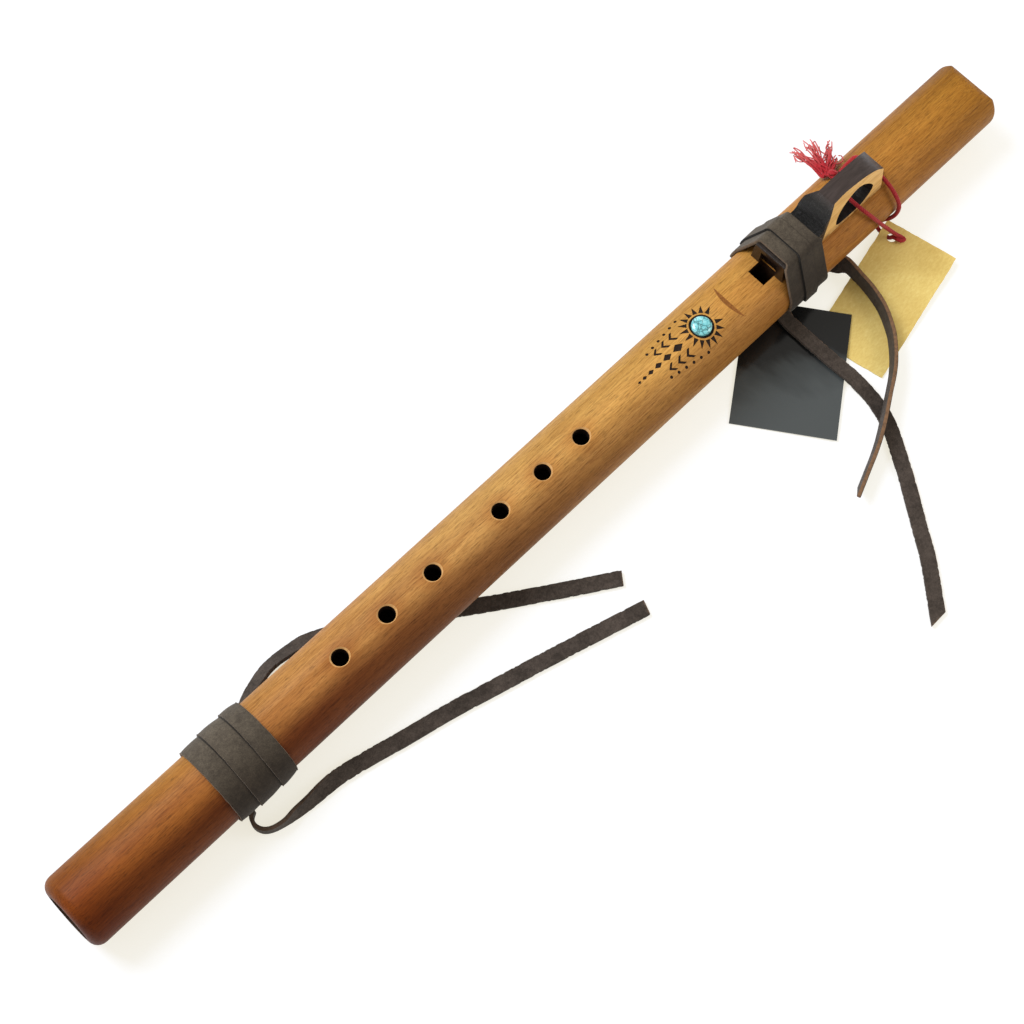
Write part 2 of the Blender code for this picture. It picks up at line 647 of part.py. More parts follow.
def make_block(parts, cutters, dark_wood):
    mesh = outline_across_y([block_outline()], BLOCK_BASE_WIDTH)
    block = new_object("block", mesh, parts, dark_wood)
    eye = new_cutter(
        "cut_ring_eye", outline_across_y([ring_eye_outline()], BLOCK_BASE_WIDTH + CUT_PAST), cutters
    )
    half = SOUND_HOLE_WIDTH / 2
    chimney = new_cutter(
        "cut_chimney",
        box_mesh(
            (BLOCK_START - CUT_PAST, -half, BLOCK_BASE - CUT_PAST),
            (BLOCK_START + CHIMNEY_DEPTH, half, BLOCK_BASE + SADDLE_HEIGHT - CHIMNEY_LINTEL),
        ),
        cutters,
    )
    wedges = side_wedges(
        "cut_block_side", BLOCK_START - CUT_PAST, BLOCK_END + CUT_PAST,
        BLOCK_BASE_WIDTH, BLOCK_SIDE_LEAN, cutters,
    )
    wedges += side_wedges(
        "cut_ring_side", RING_START, BLOCK_END + BLOCK_LENGTH,
        RING_BASE_WIDTH, RING_SIDE_LEAN, cutters, RING_SIDE_RUNOUT,
    )
    for cutter in (eye, chimney, *wedges):
        boolean(block, cutter)
    shade_by_angle(block)


def make_stone(parts, turquoise):
    """A low domed stone on a flat back."""
    base = BODY_TOP - STONE_SEAT_DEPTH + FIT_GAP
    girdle = base + 0.45 * STONE_THICKNESS
    dome = [
        (
            STONE_RADIUS * math.sin(math.radians(angle)),
            girdle + (base + STONE_THICKNESS - girdle) * math.cos(math.radians(angle)),
        )
        for angle in range(0, 91, 15)
    ]
    dome[0] = (0.0, base + STONE_THICKNESS)
    mesh = turned_mesh([*dome, (STONE_RADIUS, base), (0.0, base)], STONE_STEPS)
    mesh.transform(Matrix.Translation((STONE_STATION, 0, 0)))
    shade_by_angle(new_object("turquoise_stone", mesh, parts, turquoise))


def spread_outline(section, offsets):
    """A taut band's path round a section, at these distances outside it, as (Y, Z) points."""
    outline = []
    for step, offset in enumerate(offsets):
        angle = 2 * math.pi * (step + 0.5) / len(offsets)
        outward = (math.cos(angle), math.sin(angle))
        touch = max(section, key=lambda point: point[0] * outward[0] + point[1] * outward[1])
        outline.append((touch[0] + offset * outward[0], touch[1] + offset * outward[1]))
    return outline


def make_wrap(name, section, stations, parts, leather):
    """A lace wound round a section. Each station is (X as a function of the angle, thickness).

    The inner face keeps the fit gap to what it holds. Underneath, where the turns lie double,
    the outer face is pressed flat on the table.
    """
    double = LACE_THICKNESS + LACE_OVERLAP_RISE
    angles = [2 * math.pi * (step + 0.5) / WRAP_POINTS for step in range(WRAP_POINTS)]
    inner = spread_outline(section, [FIT_GAP] * WRAP_POINTS)
    work = bmesh.new()
    rings = []
    for place, thickness in stations:
        offsets = [
            FIT_GAP + thickness + (double - thickness) * max(0.0, -math.sin(angle)) ** 4
            for angle in angles
        ]
        outer = spread_outline(section, offsets)
        rings.append([
            work.verts.new((place(angle), across, max(up, 0.0)))
            for angle, (across, up) in zip(angles, outer)
        ])
    for place, _ in (stations[-1], stations[0]):
        rings.append([
            work.verts.new((place(angle), across, up))
            for angle, (across, up) in zip(angles, inner)
        ])
    for ring, following in zip(rings, rings[1:] + rings[:1]):
        for step in range(WRAP_POINTS):
            onward = (step + 1) % WRAP_POINTS
            work.faces.new((ring[step], ring[onward], following[onward], following[step]))
    bmesh.ops.recalc_face_normals(work, faces=work.faces)
    mesh = bpy.data.meshes.new(name)
    work.to_mesh(mesh)
    work.free()
    shade_by_angle(new_object(name, mesh, parts, leather))


def make_foot_wrap(parts, leather):
    """Three turns side by side, each with its edge lying over the turn before."""
    stations = []
    start = FOOT_WRAP_START
    for number, width in enumerate(FOOT_TURNS):
        rise = LACE_OVERLAP_RISE if number else 0.0
        stations.append((lambda angle, x=start: x, LACE_THICKNESS + rise))
        start += width
        stations.append((lambda angle, x=start - FIT_GAP: x, LACE_THICKNESS))
    make_wrap("foot_lace_wrap", tube_section(), stations, parts, leather)


def block_wrap_section():
    """What the block's lace holds: the tube with the saddle on top of it."""
    half = BLOCK_BASE_WIDTH / 2 - BLOCK_SIDE_LEAN * SADDLE_HEIGHT
    top = BLOCK_BASE + SADDLE_HEIGHT
    return tube_section() + [(half, top), (-half, top)]


def round_the_block(stations, shift=0.0):
    """An edge given by where it lies on top, on the near side, on the far side and underneath."""
    top, near, far, under = (BLOCK_START + shift + station for station in stations)

    def place(angle):
        side = far if math.cos(angle) > 0 else near
        up = math.sin(angle)
        if up >= 0:
            return side + (top - side) * up
        return side + (under - side) * min(1.0, -1.25 * up)

    return place


def make_block_wrap(parts, leather):
    """Three turns over the saddle, the middle one on top of the two others."""
    raised = LACE_THICKNESS + LACE_OVERLAP_RISE
    stations = [
        (round_the_block(BLOCK_WRAP_FRONT), LACE_THICKNESS),
        (round_the_block(BLOCK_WRAP_FIRST_SEAM), LACE_THICKNESS),
        (round_the_block(BLOCK_WRAP_FIRST_SEAM, FIT_GAP), raised),
        (round_the_block(BLOCK_WRAP_SECOND_SEAM), raised),
        (round_the_block(BLOCK_WRAP_SECOND_SEAM, FIT_GAP), LACE_THICKNESS),
        (round_the_block(BLOCK_WRAP_REAR), LACE_THICKNESS),
    ]
    make_wrap("block_lace_wrap", block_wrap_section(), stations, parts, leather)


def make_tail(name, route, width, parts, leather):
    """A free lace end: a flat strip along its route."""
    half_width = width / 2
    half_thick = TAIL_THICKNESS / 2
    shape = bpy.data.curves.new(name + "_section", "CURVE")
    shape.dimensions = "2D"
    spline = shape.splines.new("POLY")
    spline.points.add(3)
    corners = ((-1, -1), (1, -1), (1, 1), (-1, 1))
    for point, (across, up) in zip(spline.points, corners):
        point.co = (across * half_width, up * half_thick, 0.0, 1.0)
    spline.use_cyclic_u = True
    section = bpy.data.objects.new(name + "_section", shape)
    bpy.context.scene.collection.objects.link(section)
    places = smooth_path(route, TAIL_POINT_COUNT)
    curve = path_curve(name, places)
    for point, place in zip(curve.splines[0].points, places):
        point.tilt = math.radians(place.w)
    curve.bevel_mode = "OBJECT"
    curve.bevel_object = section
    curve.twist_mode = "Z_UP"
    strip = bpy.data.objects.new(name + "_path", curve)
    bpy.context.scene.collection.objects.link(strip)
    bpy.context.view_layer.update()
    mesh = evaluated_mesh(strip)
    bpy.data.objects.remove(section)
    shade_by_angle(new_object(name, mesh, parts, leather))


def make_cord(parts, thread):
    curve = path_curve("red_cord", smooth_path(CORD_ROUTE, CORD_POINT_COUNT))
    curve.bevel_depth = CORD_DIAMETER / 2
    curve.bevel_resolution = 2
    curve.materials.append(thread)
    cord = bpy.data.objects.new("red_cord", curve)
    parts.objects.link(cord)


def make_tassel(parts, cutters, thread):
    """The knot behind the ring, and the frayed ends that come out of it."""
    bpy.ops.mesh.primitive_uv_sphere_add(segments=16, ring_count=10, radius=KNOT_RADIUS)
    ball = bpy.context.object
    ball.matrix_world = Matrix.Translation(KNOT_CENTRE)
    bpy.context.view_layer.update()
    tassel = new_object("cord_tassel", evaluated_mesh(ball), parts, thread)
    for number, tip in enumerate(TASSEL_TIPS, 1):
        middle = (Vector(KNOT_CENTRE) + Vector(tip)) / 2 + Vector((0, 0, 0.0012))
        points = smooth_path((KNOT_CENTRE, middle, tip), 8)
        radii = [1.0 - 0.4 * index / 7 for index in range(8)]
        curve = path_curve(f"strand_{number}", points, radii)
        curve.bevel_depth = STRAND_RADIUS
        curve.bevel_resolution = 1
        strand = bpy.data.objects.new(f"strand_{number}", curve)
        bpy.context.scene.collection.objects.link(strand)
        bpy.context.view_layer.update()
        joined = new_cutter(f"join_strand_{number}", evaluated_mesh(strand), cutters)
        boolean(tassel, joined, "UNION")
    shade_by_angle(tassel)


def make_tag(name, size, centre, turn, lifts, hole, parts, cutters, card):
    """A thin card with a punched hole. The lifts raise its end at +X and its side at +Y."""
    half = Vector((size[0] / 2, size[1] / 2, TAG_THICKNESS / 2))
    mesh = box_mesh(-half, half)
    middle = FLOOR_GAP + (abs(lifts[0]) + abs(lifts[1]) + TAG_THICKNESS) / 2
    placing = (
        Matrix.Translation((*centre, middle))
        @ Matrix.Rotation(turn, 4, "Z")
        @ Matrix.Rotation(-math.asin(lifts[0] / size[0]), 4, "Y")
        @ Matrix.Rotation(math.asin(lifts[1] / size[1]), 4, "X")
    )
    tag = new_object(name, mesh, parts, card)
    tag.matrix_world = placing
    hole = Vector((*hole, 0.0))
    up = Vector((0, 0, CUT_PAST))
    punch = rod_mesh(TAG_HOLE_RADIUS, hole - up, hole + up, 20)
    punch.transform(placing)
    boolean(tag, new_cutter(f"cut_{name}_hole", punch, cutters))


def clear_scene():
    for piece in list(bpy.data.objects):
        bpy.data.objects.remove(piece)


def main():
    clear_scene()
    parts = new_collection("wooden_flute")
    cutters = new_collection("cutters")
    wood = new_material("honey_wood", (0.45, 0.22, 0.08), 0.42)
    dark_wood = new_material("charred_wood", (0.06, 0.045, 0.04), 0.55)
    turquoise = new_material("turquoise", (0.10, 0.55, 0.58), 0.25)
    leather = new_material("dark_leather", (0.075, 0.062, 0.052), 0.80)
    thread = new_material("red_thread", (0.55, 0.02, 0.03), 0.70)
    gold_card = new_material("gold_card", (0.62, 0.50, 0.22), 0.45)
    dark_card = new_material("black_card", (0.012, 0.012, 0.014), 0.22)
    make_body(parts, cutters, wood)
    make_block(parts, cutters, dark_wood)
    make_stone(parts, turquoise)
    make_foot_wrap(parts, leather)
    make_block_wrap(parts, leather)
    make_tail("block_lace_rear_tail", BLOCK_TAIL_REAR, REAR_TAIL_WIDTH, parts, leather)
    make_tail("block_lace_front_tail", BLOCK_TAIL_FRONT, TAIL_WIDTH, parts, leather)
    make_tail("foot_lace_far_tail", FOOT_TAIL_FAR, TAIL_WIDTH, parts, leather)
    make_tail("foot_lace_near_tail", FOOT_TAIL_NEAR, TAIL_WIDTH, parts, leather)
    make_cord(parts, thread)
    make_tassel(parts, cutters, thread)
    make_tag(
        "gold_tag", GOLD_TAG_SIZE, GOLD_TAG_CENTRE, GOLD_TAG_TURN, GOLD_TAG_LIFTS, GOLD_TAG_HOLE,
        parts, cutters, gold_card,
    )
    make_tag(
        "black_tag", DARK_TAG_SIZE, DARK_TAG_CENTRE, DARK_TAG_TURN, DARK_TAG_LIFTS, DARK_TAG_HOLE,
        parts, cutters, dark_card,
    )


main()
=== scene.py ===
import math

import bmesh
import bpy
from mathutils import Matrix, Vector, noise


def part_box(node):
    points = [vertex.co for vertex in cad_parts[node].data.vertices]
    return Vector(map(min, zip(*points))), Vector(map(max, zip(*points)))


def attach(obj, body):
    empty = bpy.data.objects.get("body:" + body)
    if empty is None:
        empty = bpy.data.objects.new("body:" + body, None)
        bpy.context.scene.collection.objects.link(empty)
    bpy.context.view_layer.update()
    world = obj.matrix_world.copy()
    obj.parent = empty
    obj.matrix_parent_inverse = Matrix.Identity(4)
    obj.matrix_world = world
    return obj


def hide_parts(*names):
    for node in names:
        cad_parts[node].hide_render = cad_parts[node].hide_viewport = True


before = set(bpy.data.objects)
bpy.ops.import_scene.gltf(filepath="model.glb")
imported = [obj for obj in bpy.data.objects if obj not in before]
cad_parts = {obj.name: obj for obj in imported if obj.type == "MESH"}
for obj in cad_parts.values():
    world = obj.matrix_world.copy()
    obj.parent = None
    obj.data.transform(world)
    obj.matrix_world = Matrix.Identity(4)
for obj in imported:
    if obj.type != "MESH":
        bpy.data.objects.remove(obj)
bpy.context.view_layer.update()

MM = 0.001

# Places read from the frame
BODY_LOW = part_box("lower_body_half")[0]
BODY_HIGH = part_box("upper_body_half")[1]
AXIS_Z = (BODY_LOW.z + BODY_HIGH.z) / 2
HALF_WIDTH = BODY_HIGH.y
HALF_HEIGHT = (BODY_HIGH.z - BODY_LOW.z) / 2
BLOCK_LOW, BLOCK_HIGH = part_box("block")
STONE_LOW, STONE_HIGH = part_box("turquoise_stone")
STONE_X = (STONE_LOW.x + STONE_HIGH.x) / 2
FOOT_WRAP_LOW, FOOT_WRAP_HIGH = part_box("foot_lace_wrap")

# Routes of the lace ends and the cord, as in the solids: X, Y, Z in metres, and for a lace the
# angle in degrees by which it is turned up from lying flat
REAR_TAIL = (
    (0.1640, -0.0045, 0.0012, 0), (0.1652, -0.0075, 0.0013, 2), (0.1664, -0.0110, 0.0019, 8),
    (0.1675, -0.0143, 0.0036, 30), (0.1687, -0.0182, 0.0063, 74), (0.1677, -0.0262, 0.0073, 85),
    (0.1667, -0.0344, 0.0069, 85), (0.1642, -0.0432, 0.0068, 85), (0.1602, -0.0509, 0.0067, 85),
    (0.1550, -0.0580, 0.0066, 85), (0.1454, -0.0668, 0.0065, 85), (0.1327, -0.0747, 0.0068, 85),
    (0.1200, -0.0823, 0.0070, 85), (0.1108, -0.0871, 0.0057, 85), (0.1004, -0.0914, 0.0048, 85),
    (0.0916, -0.0950, 0.0046, 85),
)
FRONT_TAIL = (
    (0.1318, -0.0128, 0.0034, 0), (0.1302, -0.0175, 0.0034, 0), (0.1301, -0.0253, 0.0032, 0),
    (0.1301, -0.0331, 0.0033, 0), (0.1302, -0.0426, 0.0033, 0), (0.1306, -0.0521, 0.0034, 0),
    (0.1308, -0.0562, 0.0033, 0), (0.1309, -0.0621, 0.0021, 0), (0.1300, -0.0714, 0.0013, 0),
    (0.1263, -0.0824, 0.0013, 0), (0.1197, -0.0938, 0.0013, 0), (0.1118, -0.1063, 0.0013, 0),
    (0.0991, -0.1249, 0.0013, 0), (0.0913, -0.1363, 0.0013, 0), (0.0744, -0.1567, 0.0013, 0),
)
FAR_TAIL = (
    (-0.1632, 0.0184, 0.0035, -44), (-0.1581, 0.0207, 0.0033, -42),
    (-0.1540, 0.0222, 0.0032, -40), (-0.1458, 0.0243, 0.0032, -39),
    (-0.1405, 0.0246, 0.0032, -39), (-0.1357, 0.0242, 0.0031, -37),
    (-0.1268, 0.0229, 0.0027, -28), (-0.1209, 0.0206, 0.0020, -14),
    (-0.1152, 0.0177, 0.0014, -3), (-0.1040, 0.0112, 0.0012, 0), (-0.0893, 0.0024, 0.0011, 0),
    (-0.0587, -0.0185, 0.0012, 0), (-0.0286, -0.0381, 0.0013, 0), (-0.0091, -0.0503, 0.0013, 0),
)
NEAR_TAIL = (
    (-0.1882, -0.0160, 0.0040, 90), (-0.1908, -0.0178, 0.0039, 90),
    (-0.1918, -0.0213, 0.0039, 90), (-0.1905, -0.0246, 0.0039, 90),
    (-0.1872, -0.0269, 0.0039, 90), (-0.1819, -0.0282, 0.0039, 85),
    (-0.1762, -0.0285, 0.0039, 68), (-0.1693, -0.0289, 0.0038, 56),
    (-0.1612, -0.0289, 0.0032, 38), (-0.1530, -0.0294, 0.0025, 24),
    (-0.1392, -0.0322, 0.0017, 9),
    (-0.1239, -0.0360, 0.0013, 0), (-0.1006, -0.0414, 0.0013, 0), (-0.0777, -0.0477, 0.0013, 0),
    (-0.0469, -0.0562, 0.0013, 0), (-0.0110, -0.0666, 0.0013, 0),
)
CORD_ROUTE = (
    (0.1820, 0.0088, 0.0336), (0.1810, 0.0068, 0.0339), (0.1797, 0.0020, 0.0343),
    (0.1790, -0.0040, 0.0345), (0.1792, -0.0092, 0.0342), (0.1814, -0.0137, 0.0308),
    (0.1858, -0.0172, 0.0235), (0.1915, -0.0201, 0.0142), (0.1956, -0.0234, 0.0080),
    (0.1977, -0.0257, 0.0056), (0.1979, -0.0273, 0.0053), (0.1963, -0.0268, 0.0055),
    (0.1955, -0.0248, 0.0056), (0.1954, -0.0229, 0.0049), (0.1954, -0.0221, 0.0033),
    (0.1954, -0.0210, 0.0018), (0.1953, -0.0185, 0.0013), (0.1955, -0.0150, 0.0013),
    (0.1961, -0.0133, 0.0023), (0.1970, -0.0133, 0.0045), (0.1978, -0.0146, 0.0072),
    (0.1982, -0.0168, 0.0110), (0.1986, -0.0184, 0.0165), (0.1985, -0.0185, 0.0228),
    (0.1978, -0.0168, 0.0280), (0.1976, -0.0132, 0.0317), (0.1978, -0.0086, 0.0335),
    (0.1981, -0.0040, 0.0339), (0.1982, 0.0020, 0.0342), (0.1984, 0.0062, 0.0338),
    (0.1972, 0.0094, 0.0332), (0.1938, 0.0099, 0.0326), (0.1866, 0.0093, 0.0326),
)
KNOT_CENTRE = Vector((0.1838, 0.0108, 0.0330))
TAIL_WIDTH = 7.2 * MM
REAR_TAIL_WIDTH = 8.6 * MM
TAIL_THICKNESS = 1.8 * MM
CORD_DIAMETER = 2.0 * MM

# Laces round the tube
LACE_THICKNESS = 1.3 * MM
LACE_RISE = 1.1 * MM
LACE_CORNER = 0.32 * MM
FIT_GAP = 0.3 * MM
FOOT_TURNS = (9.8 * MM, 11.4 * MM, 8.9 * MM)
FOOT_TUCK = 1.3 * MM
FOOT_LEAN = 0.7 * MM
FOOT_BULGE = 0.35 * MM
SADDLE_HEIGHT = 11.6 * MM
SADDLE_TOP_HALF = 8.3 * MM
SHOULDER_ROUNDING = 1.2 * MM
ROUND_TUBE = 144

# Edges of the block's lace behind the block's front: on top, near side, far side, underneath
BLOCK_LACE_FRONT = (1.7, -1.8, -1.0, 8.7)
BLOCK_LACE_SEAM_1 = (8.2, 7.2, 6.7, 13.2)
BLOCK_LACE_SEAM_2 = (16.2, 15.2, 15.2, 18.7)
BLOCK_LACE_REAR = (21.2, 23.4, 21.7, 24.2)
BLOCK_LACE_TUCK = 1.2

# Free lace ends: stations along one, those in its slanted end, and its worn edges
TAIL_STEPS = 230
SLANT_STEPS = 6
TAIL_CORNER = 0.35 * MM
EDGE_WEAR = 0.16 * MM
NICK_DEPTH = 0.9 * MM

# Round a raw edge: the angle in degrees, and the height as a share of half the thickness. The
# first step turns back up, which leaves a narrow groove under the edge.
RAW_EDGE = ((-60, 1.0), (-30, -0.72), (0, 0.0), (30, 0.72), (60, 1.0))

# Cord and its frayed ends
CORD_STEPS = 560
CORD_SIDES = 24
PLY_PITCH = 3.4 * MM
STRAND_STEPS = 26
STRAND_SIDES = 5
KNOT_LOOP_STEPS = 28
TASSEL_BASE = Vector((0.1800, 0.0150, 0.0290))

# Bunches of frayed thread: where the tips are, how many threads and how curly
BUNCHES = (
    (Vector((0.1857, 0.0352, 0.0205)), 15, 0.9), (Vector((0.1943, 0.0338, 0.0210)), 8, 0.8),
    (Vector((0.1966, 0.0318, 0.0215)), 8, 0.8), (Vector((0.1985, 0.0249, 0.0250)), 12, 1.3),
    (Vector((0.1950, 0.0165, 0.0285)), 9, 1.3),
)

# Tags, in millimetres and degrees
GOLD_TAG = {
    "size": (69.5, 36.1), "centre": (171.1, -40.2), "turn": 12.9, "lifts": (3.2, 0.0),
    "hole": (27.7, 12.0), "ragged": 0.45,
}
DARK_TAG = {
    "size": (61.4, 47.8), "centre": (115.0, -34.2), "turn": 35.9, "lifts": (1.1, -0.7),
    "hole": (24.3, 17.9), "ragged": 0.0,
}
TAG_THICKNESS = 0.5
TAG_HOLE_RADIUS = 2.2
TAG_SIDE_STEPS = 40

# Openings in the tube
HOLE_STATIONS = (-0.1240, -0.0981, -0.0725, -0.0339, -0.0091, 0.0137)
HOLE_RADIUS = 3.7 * MM
HOLE_RIM_RADIUS = 4.5 * MM
SOUND_HOLE = (0.1223, 0.1313)
SOUND_HOLE_HALF = 4.6 * MM
NEST_RAMP = (0.1000, 0.1120)

# Stone, and the burnt ring round it
STONE_RADIUS = (STONE_HIGH.x - STONE_LOW.x) / 2
STONE_SEAT = 4.7 * MM
STONE_RING = 5.5 * MM
STONE_SIDES = 72
DOME_STEPS = 14
MARK_DEPTH = 0.26 * MM
RING_DEPTH = 0.35 * MM
CUTTER_TOP = 0.8 * MM

# Burnt diamonds, in millimetres: how far from the stone, half the length and half the width
DIAMONDS = (
    (14.8, 3.0, 1.8), (21.3, 2.5, 1.5), (26.8, 2.1, 1.25), (31.4, 1.7, 1.0), (35.2, 1.3, 0.8),
    (38.3, 1.0, 0.6),
)

# Block
EYE_CENTRE = Vector((BLOCK_LOW.x + 48.2 * MM, 0, BLOCK_LOW.z + 9.2 * MM))
EYE_REACH = 14 * MM
RING_START = BLOCK_LOW.x + 25.0 * MM
BROW_ROUNDING = 1.5 * MM

# Inside of the bore, eased rims of the finger holes, burnt marks and the slope at the front of
# the nest: roughness, gloss, streaks to a metre, dark and light colours, where it is light, bump
STREAKED_WOODS = {
    # Inside of the bore: near-black, as painted shade deep in the tube.
    "shaded_bore_wood": (0.7, 0.2, (30, 700, 700), (0.020, 0.009, 0.004), (0.050, 0.022, 0.009), 0.7, 0.2),
    "rim_wood": (0.5, 0.3, (40, 900, 900), (0.56, 0.29, 0.10), (0.72, 0.42, 0.17), 0.7, 0.1),
    "burnt_wood": (
        0.75, 0.2, (900, 1800, 1800), (0.008, 0.004, 0.003), (0.030, 0.014, 0.008), 0.75, 0.4,
    ),
    # The nest's front slope: its dark red-brown is painted shade on a face turned away from the window
    # lamp.
    "shaded_ramp_wood": (0.55, 0.2, (60, 1300, 1300), (0.20, 0.070, 0.016), (0.36, 0.150, 0.040), 0.7, 0.1),
}

# Camera fitted to the photograph
CAMERA_PLACE = Vector((-0.248774, -0.18371, 0.79853))
CAMERA_TARGET = Vector((-0.02654, -0.000308, 0.0178))
CAMERA_ROLL = 0.107
FOCAL_PIXELS = 1979.3
PICTURE_PIXELS = 1024

# Lamps: place, size in metres, power in watts and colour
LAMPS = {
    "window": (Vector((-0.30, 0.90, 1.08)), 0.8, 20.0, (0.93, 0.96, 1.0)),
    "room": (Vector((0.55, -0.50, 0.55)), 0.4, 2.0, (1.0, 0.94, 0.84)),
}
LAMP_TARGET = Vector((0, 0, 0.02))


def add_object(name, data):
    made = bpy.data.objects.new(name, data)
    bpy.context.scene.collection.objects.link(made)
    return made


def make_camera():
    back = (CAMERA_PLACE - CAMERA_TARGET).normalized()
    right = Vector((0, 0, 1)).cross(back).normalized()
    up = back.cross(right)
    across = math.cos(CAMERA_ROLL) * right + math.sin(CAMERA_ROLL) * up
    upright = -math.sin(CAMERA_ROLL) * right + math.cos(CAMERA_ROLL) * up
    data = bpy.data.cameras.new("camera")
    data.sensor_width = 36
    data.lens = FOCAL_PIXELS / PICTURE_PIXELS * data.sensor_width
    data.clip_start = 0.01
    data.clip_end = 20
    camera = add_object("camera", data)
    turn = Matrix((across, upright, back)).transposed().to_4x4()
    camera.matrix_world = Matrix.Translation(CAMERA_PLACE) @ turn
    bpy.context.scene.camera = camera


class Net:
    """A short way to write a material's nodes. Inputs are values or other nodes' outputs."""

    def __init__(self, name, roughness=0.5, gloss=0.5, **fixed):
        self.material = bpy.data.materials.new(name)
        self.material.use_nodes = True
        self.tree = self.material.node_tree
        self.shader = self.tree.nodes["Principled BSDF"]
        fixed.update(Roughness=roughness, Specular_IOR_Level=gloss)
        for key, value in fixed.items():
            self.shader.inputs[key.replace("_", " ")].default_value = value
        self.place = self.node("ShaderNodeTexCoord").outputs["Object"]

    def node(self, kind, inputs=(), **settings):
        made = self.tree.nodes.new(kind)
        for key, value in settings.items():
            setattr(made, key, value)
        for key, value in dict(inputs).items():
            self.put(made.inputs[key], value)
        return made

    def put(self, socket, value):
        if isinstance(value, bpy.types.NodeSocket):
            self.tree.links.new(value, socket)
        elif hasattr(value, "__len__") and len(value) == 3 and socket.type == "RGBA":
            socket.default_value = (*value, 1.0)
        else:
            socket.default_value = value

    def noise(self, scale, detail=2.0, roughness=0.5, distortion=0.0, turn=(0, 0, 0)):
        """Noise with this many units to a metre, on all axes alike or along each."""
        scale = scale if hasattr(scale, "__len__") else (scale,) * 3
        inputs = {"Vector": self.place, "Scale": scale, "Rotation": turn}
        stretched = self.node("ShaderNodeMapping", inputs).outputs[0]
        inputs = {
            "Vector": stretched, "Scale": 1.0, "Detail": detail, "Roughness": roughness,
            "Distortion": distortion,
        }
        return self.node("ShaderNodeTexNoise", inputs).outputs["Fac"]

    def ramp(self, value, *stops):
        """Colours or greys at these positions along a value."""
        node = self.node("ShaderNodeValToRGB", {"Fac": value})
        band = node.color_ramp
        while len(band.elements) < len(stops):
            band.elements.new(0.5)
        for element, (position, colour) in zip(band.elements, stops):
            element.position = position
            grey = not hasattr(colour, "__len__")
            element.color = (colour, colour, colour, 1) if grey else (*colour, 1)
        return node.outputs["Color"]

    def mix(self, amount, first, second, blend="MIX"):
        inputs = {0: amount, 6: first, 7: second}
        return self.node("ShaderNodeMix", inputs, data_type="RGBA", blend_type=blend).outputs[2]

    def tint(self, colour, stain, amount=None):
        """The colour multiplied by a stain, or some way towards that."""
        stained = self.mix(1.0, colour, stain, "MULTIPLY")
        return stained if amount is None else self.mix(amount, colour, stained)

    def math(self, operation, first, second=0.0):
        return self.node("ShaderNodeMath", {0: first, 1: second}, operation=operation).outputs[0]

    def product(self, first, *others):
        for other in others:
            first = self.math("MULTIPLY", first, other)
        return first

    def span(self, value, low, high, start=0.0, end=1.0, **settings):
        inputs = {
            "Value": value, "From Min": low, "From Max": high, "To Min": start, "To Max": end,
        }
        return self.node("ShaderNodeMapRange", inputs, **settings).outputs[0]

    def axes(self):
        return self.node("ShaderNodeSeparateXYZ", {"Vector": self.place}).outputs

    def behind_front(self):
        """Millimetres behind the block's front."""
        return self.math("DIVIDE", self.math("SUBTRACT", self.axes()[0], BLOCK_LOW.x), MM)

    def attribute(self, name):
        return self.node("ShaderNodeAttribute", attribute_name=name).outputs["Fac"]

    def finish(self, colour, height=None, bump=0.2, distance=0.0003, roughness=None):
        self.put(self.shader.inputs["Base Color"], colour)
        if roughness is not None:
            self.put(self.shader.inputs["Roughness"], roughness)
        if height is not None:
            inputs = {"Height": height, "Strength": bump, "Distance": distance}
            self.put(self.shader.inputs["Normal"], self.node("ShaderNodeBump", inputs).outputs[0])
        return self.material


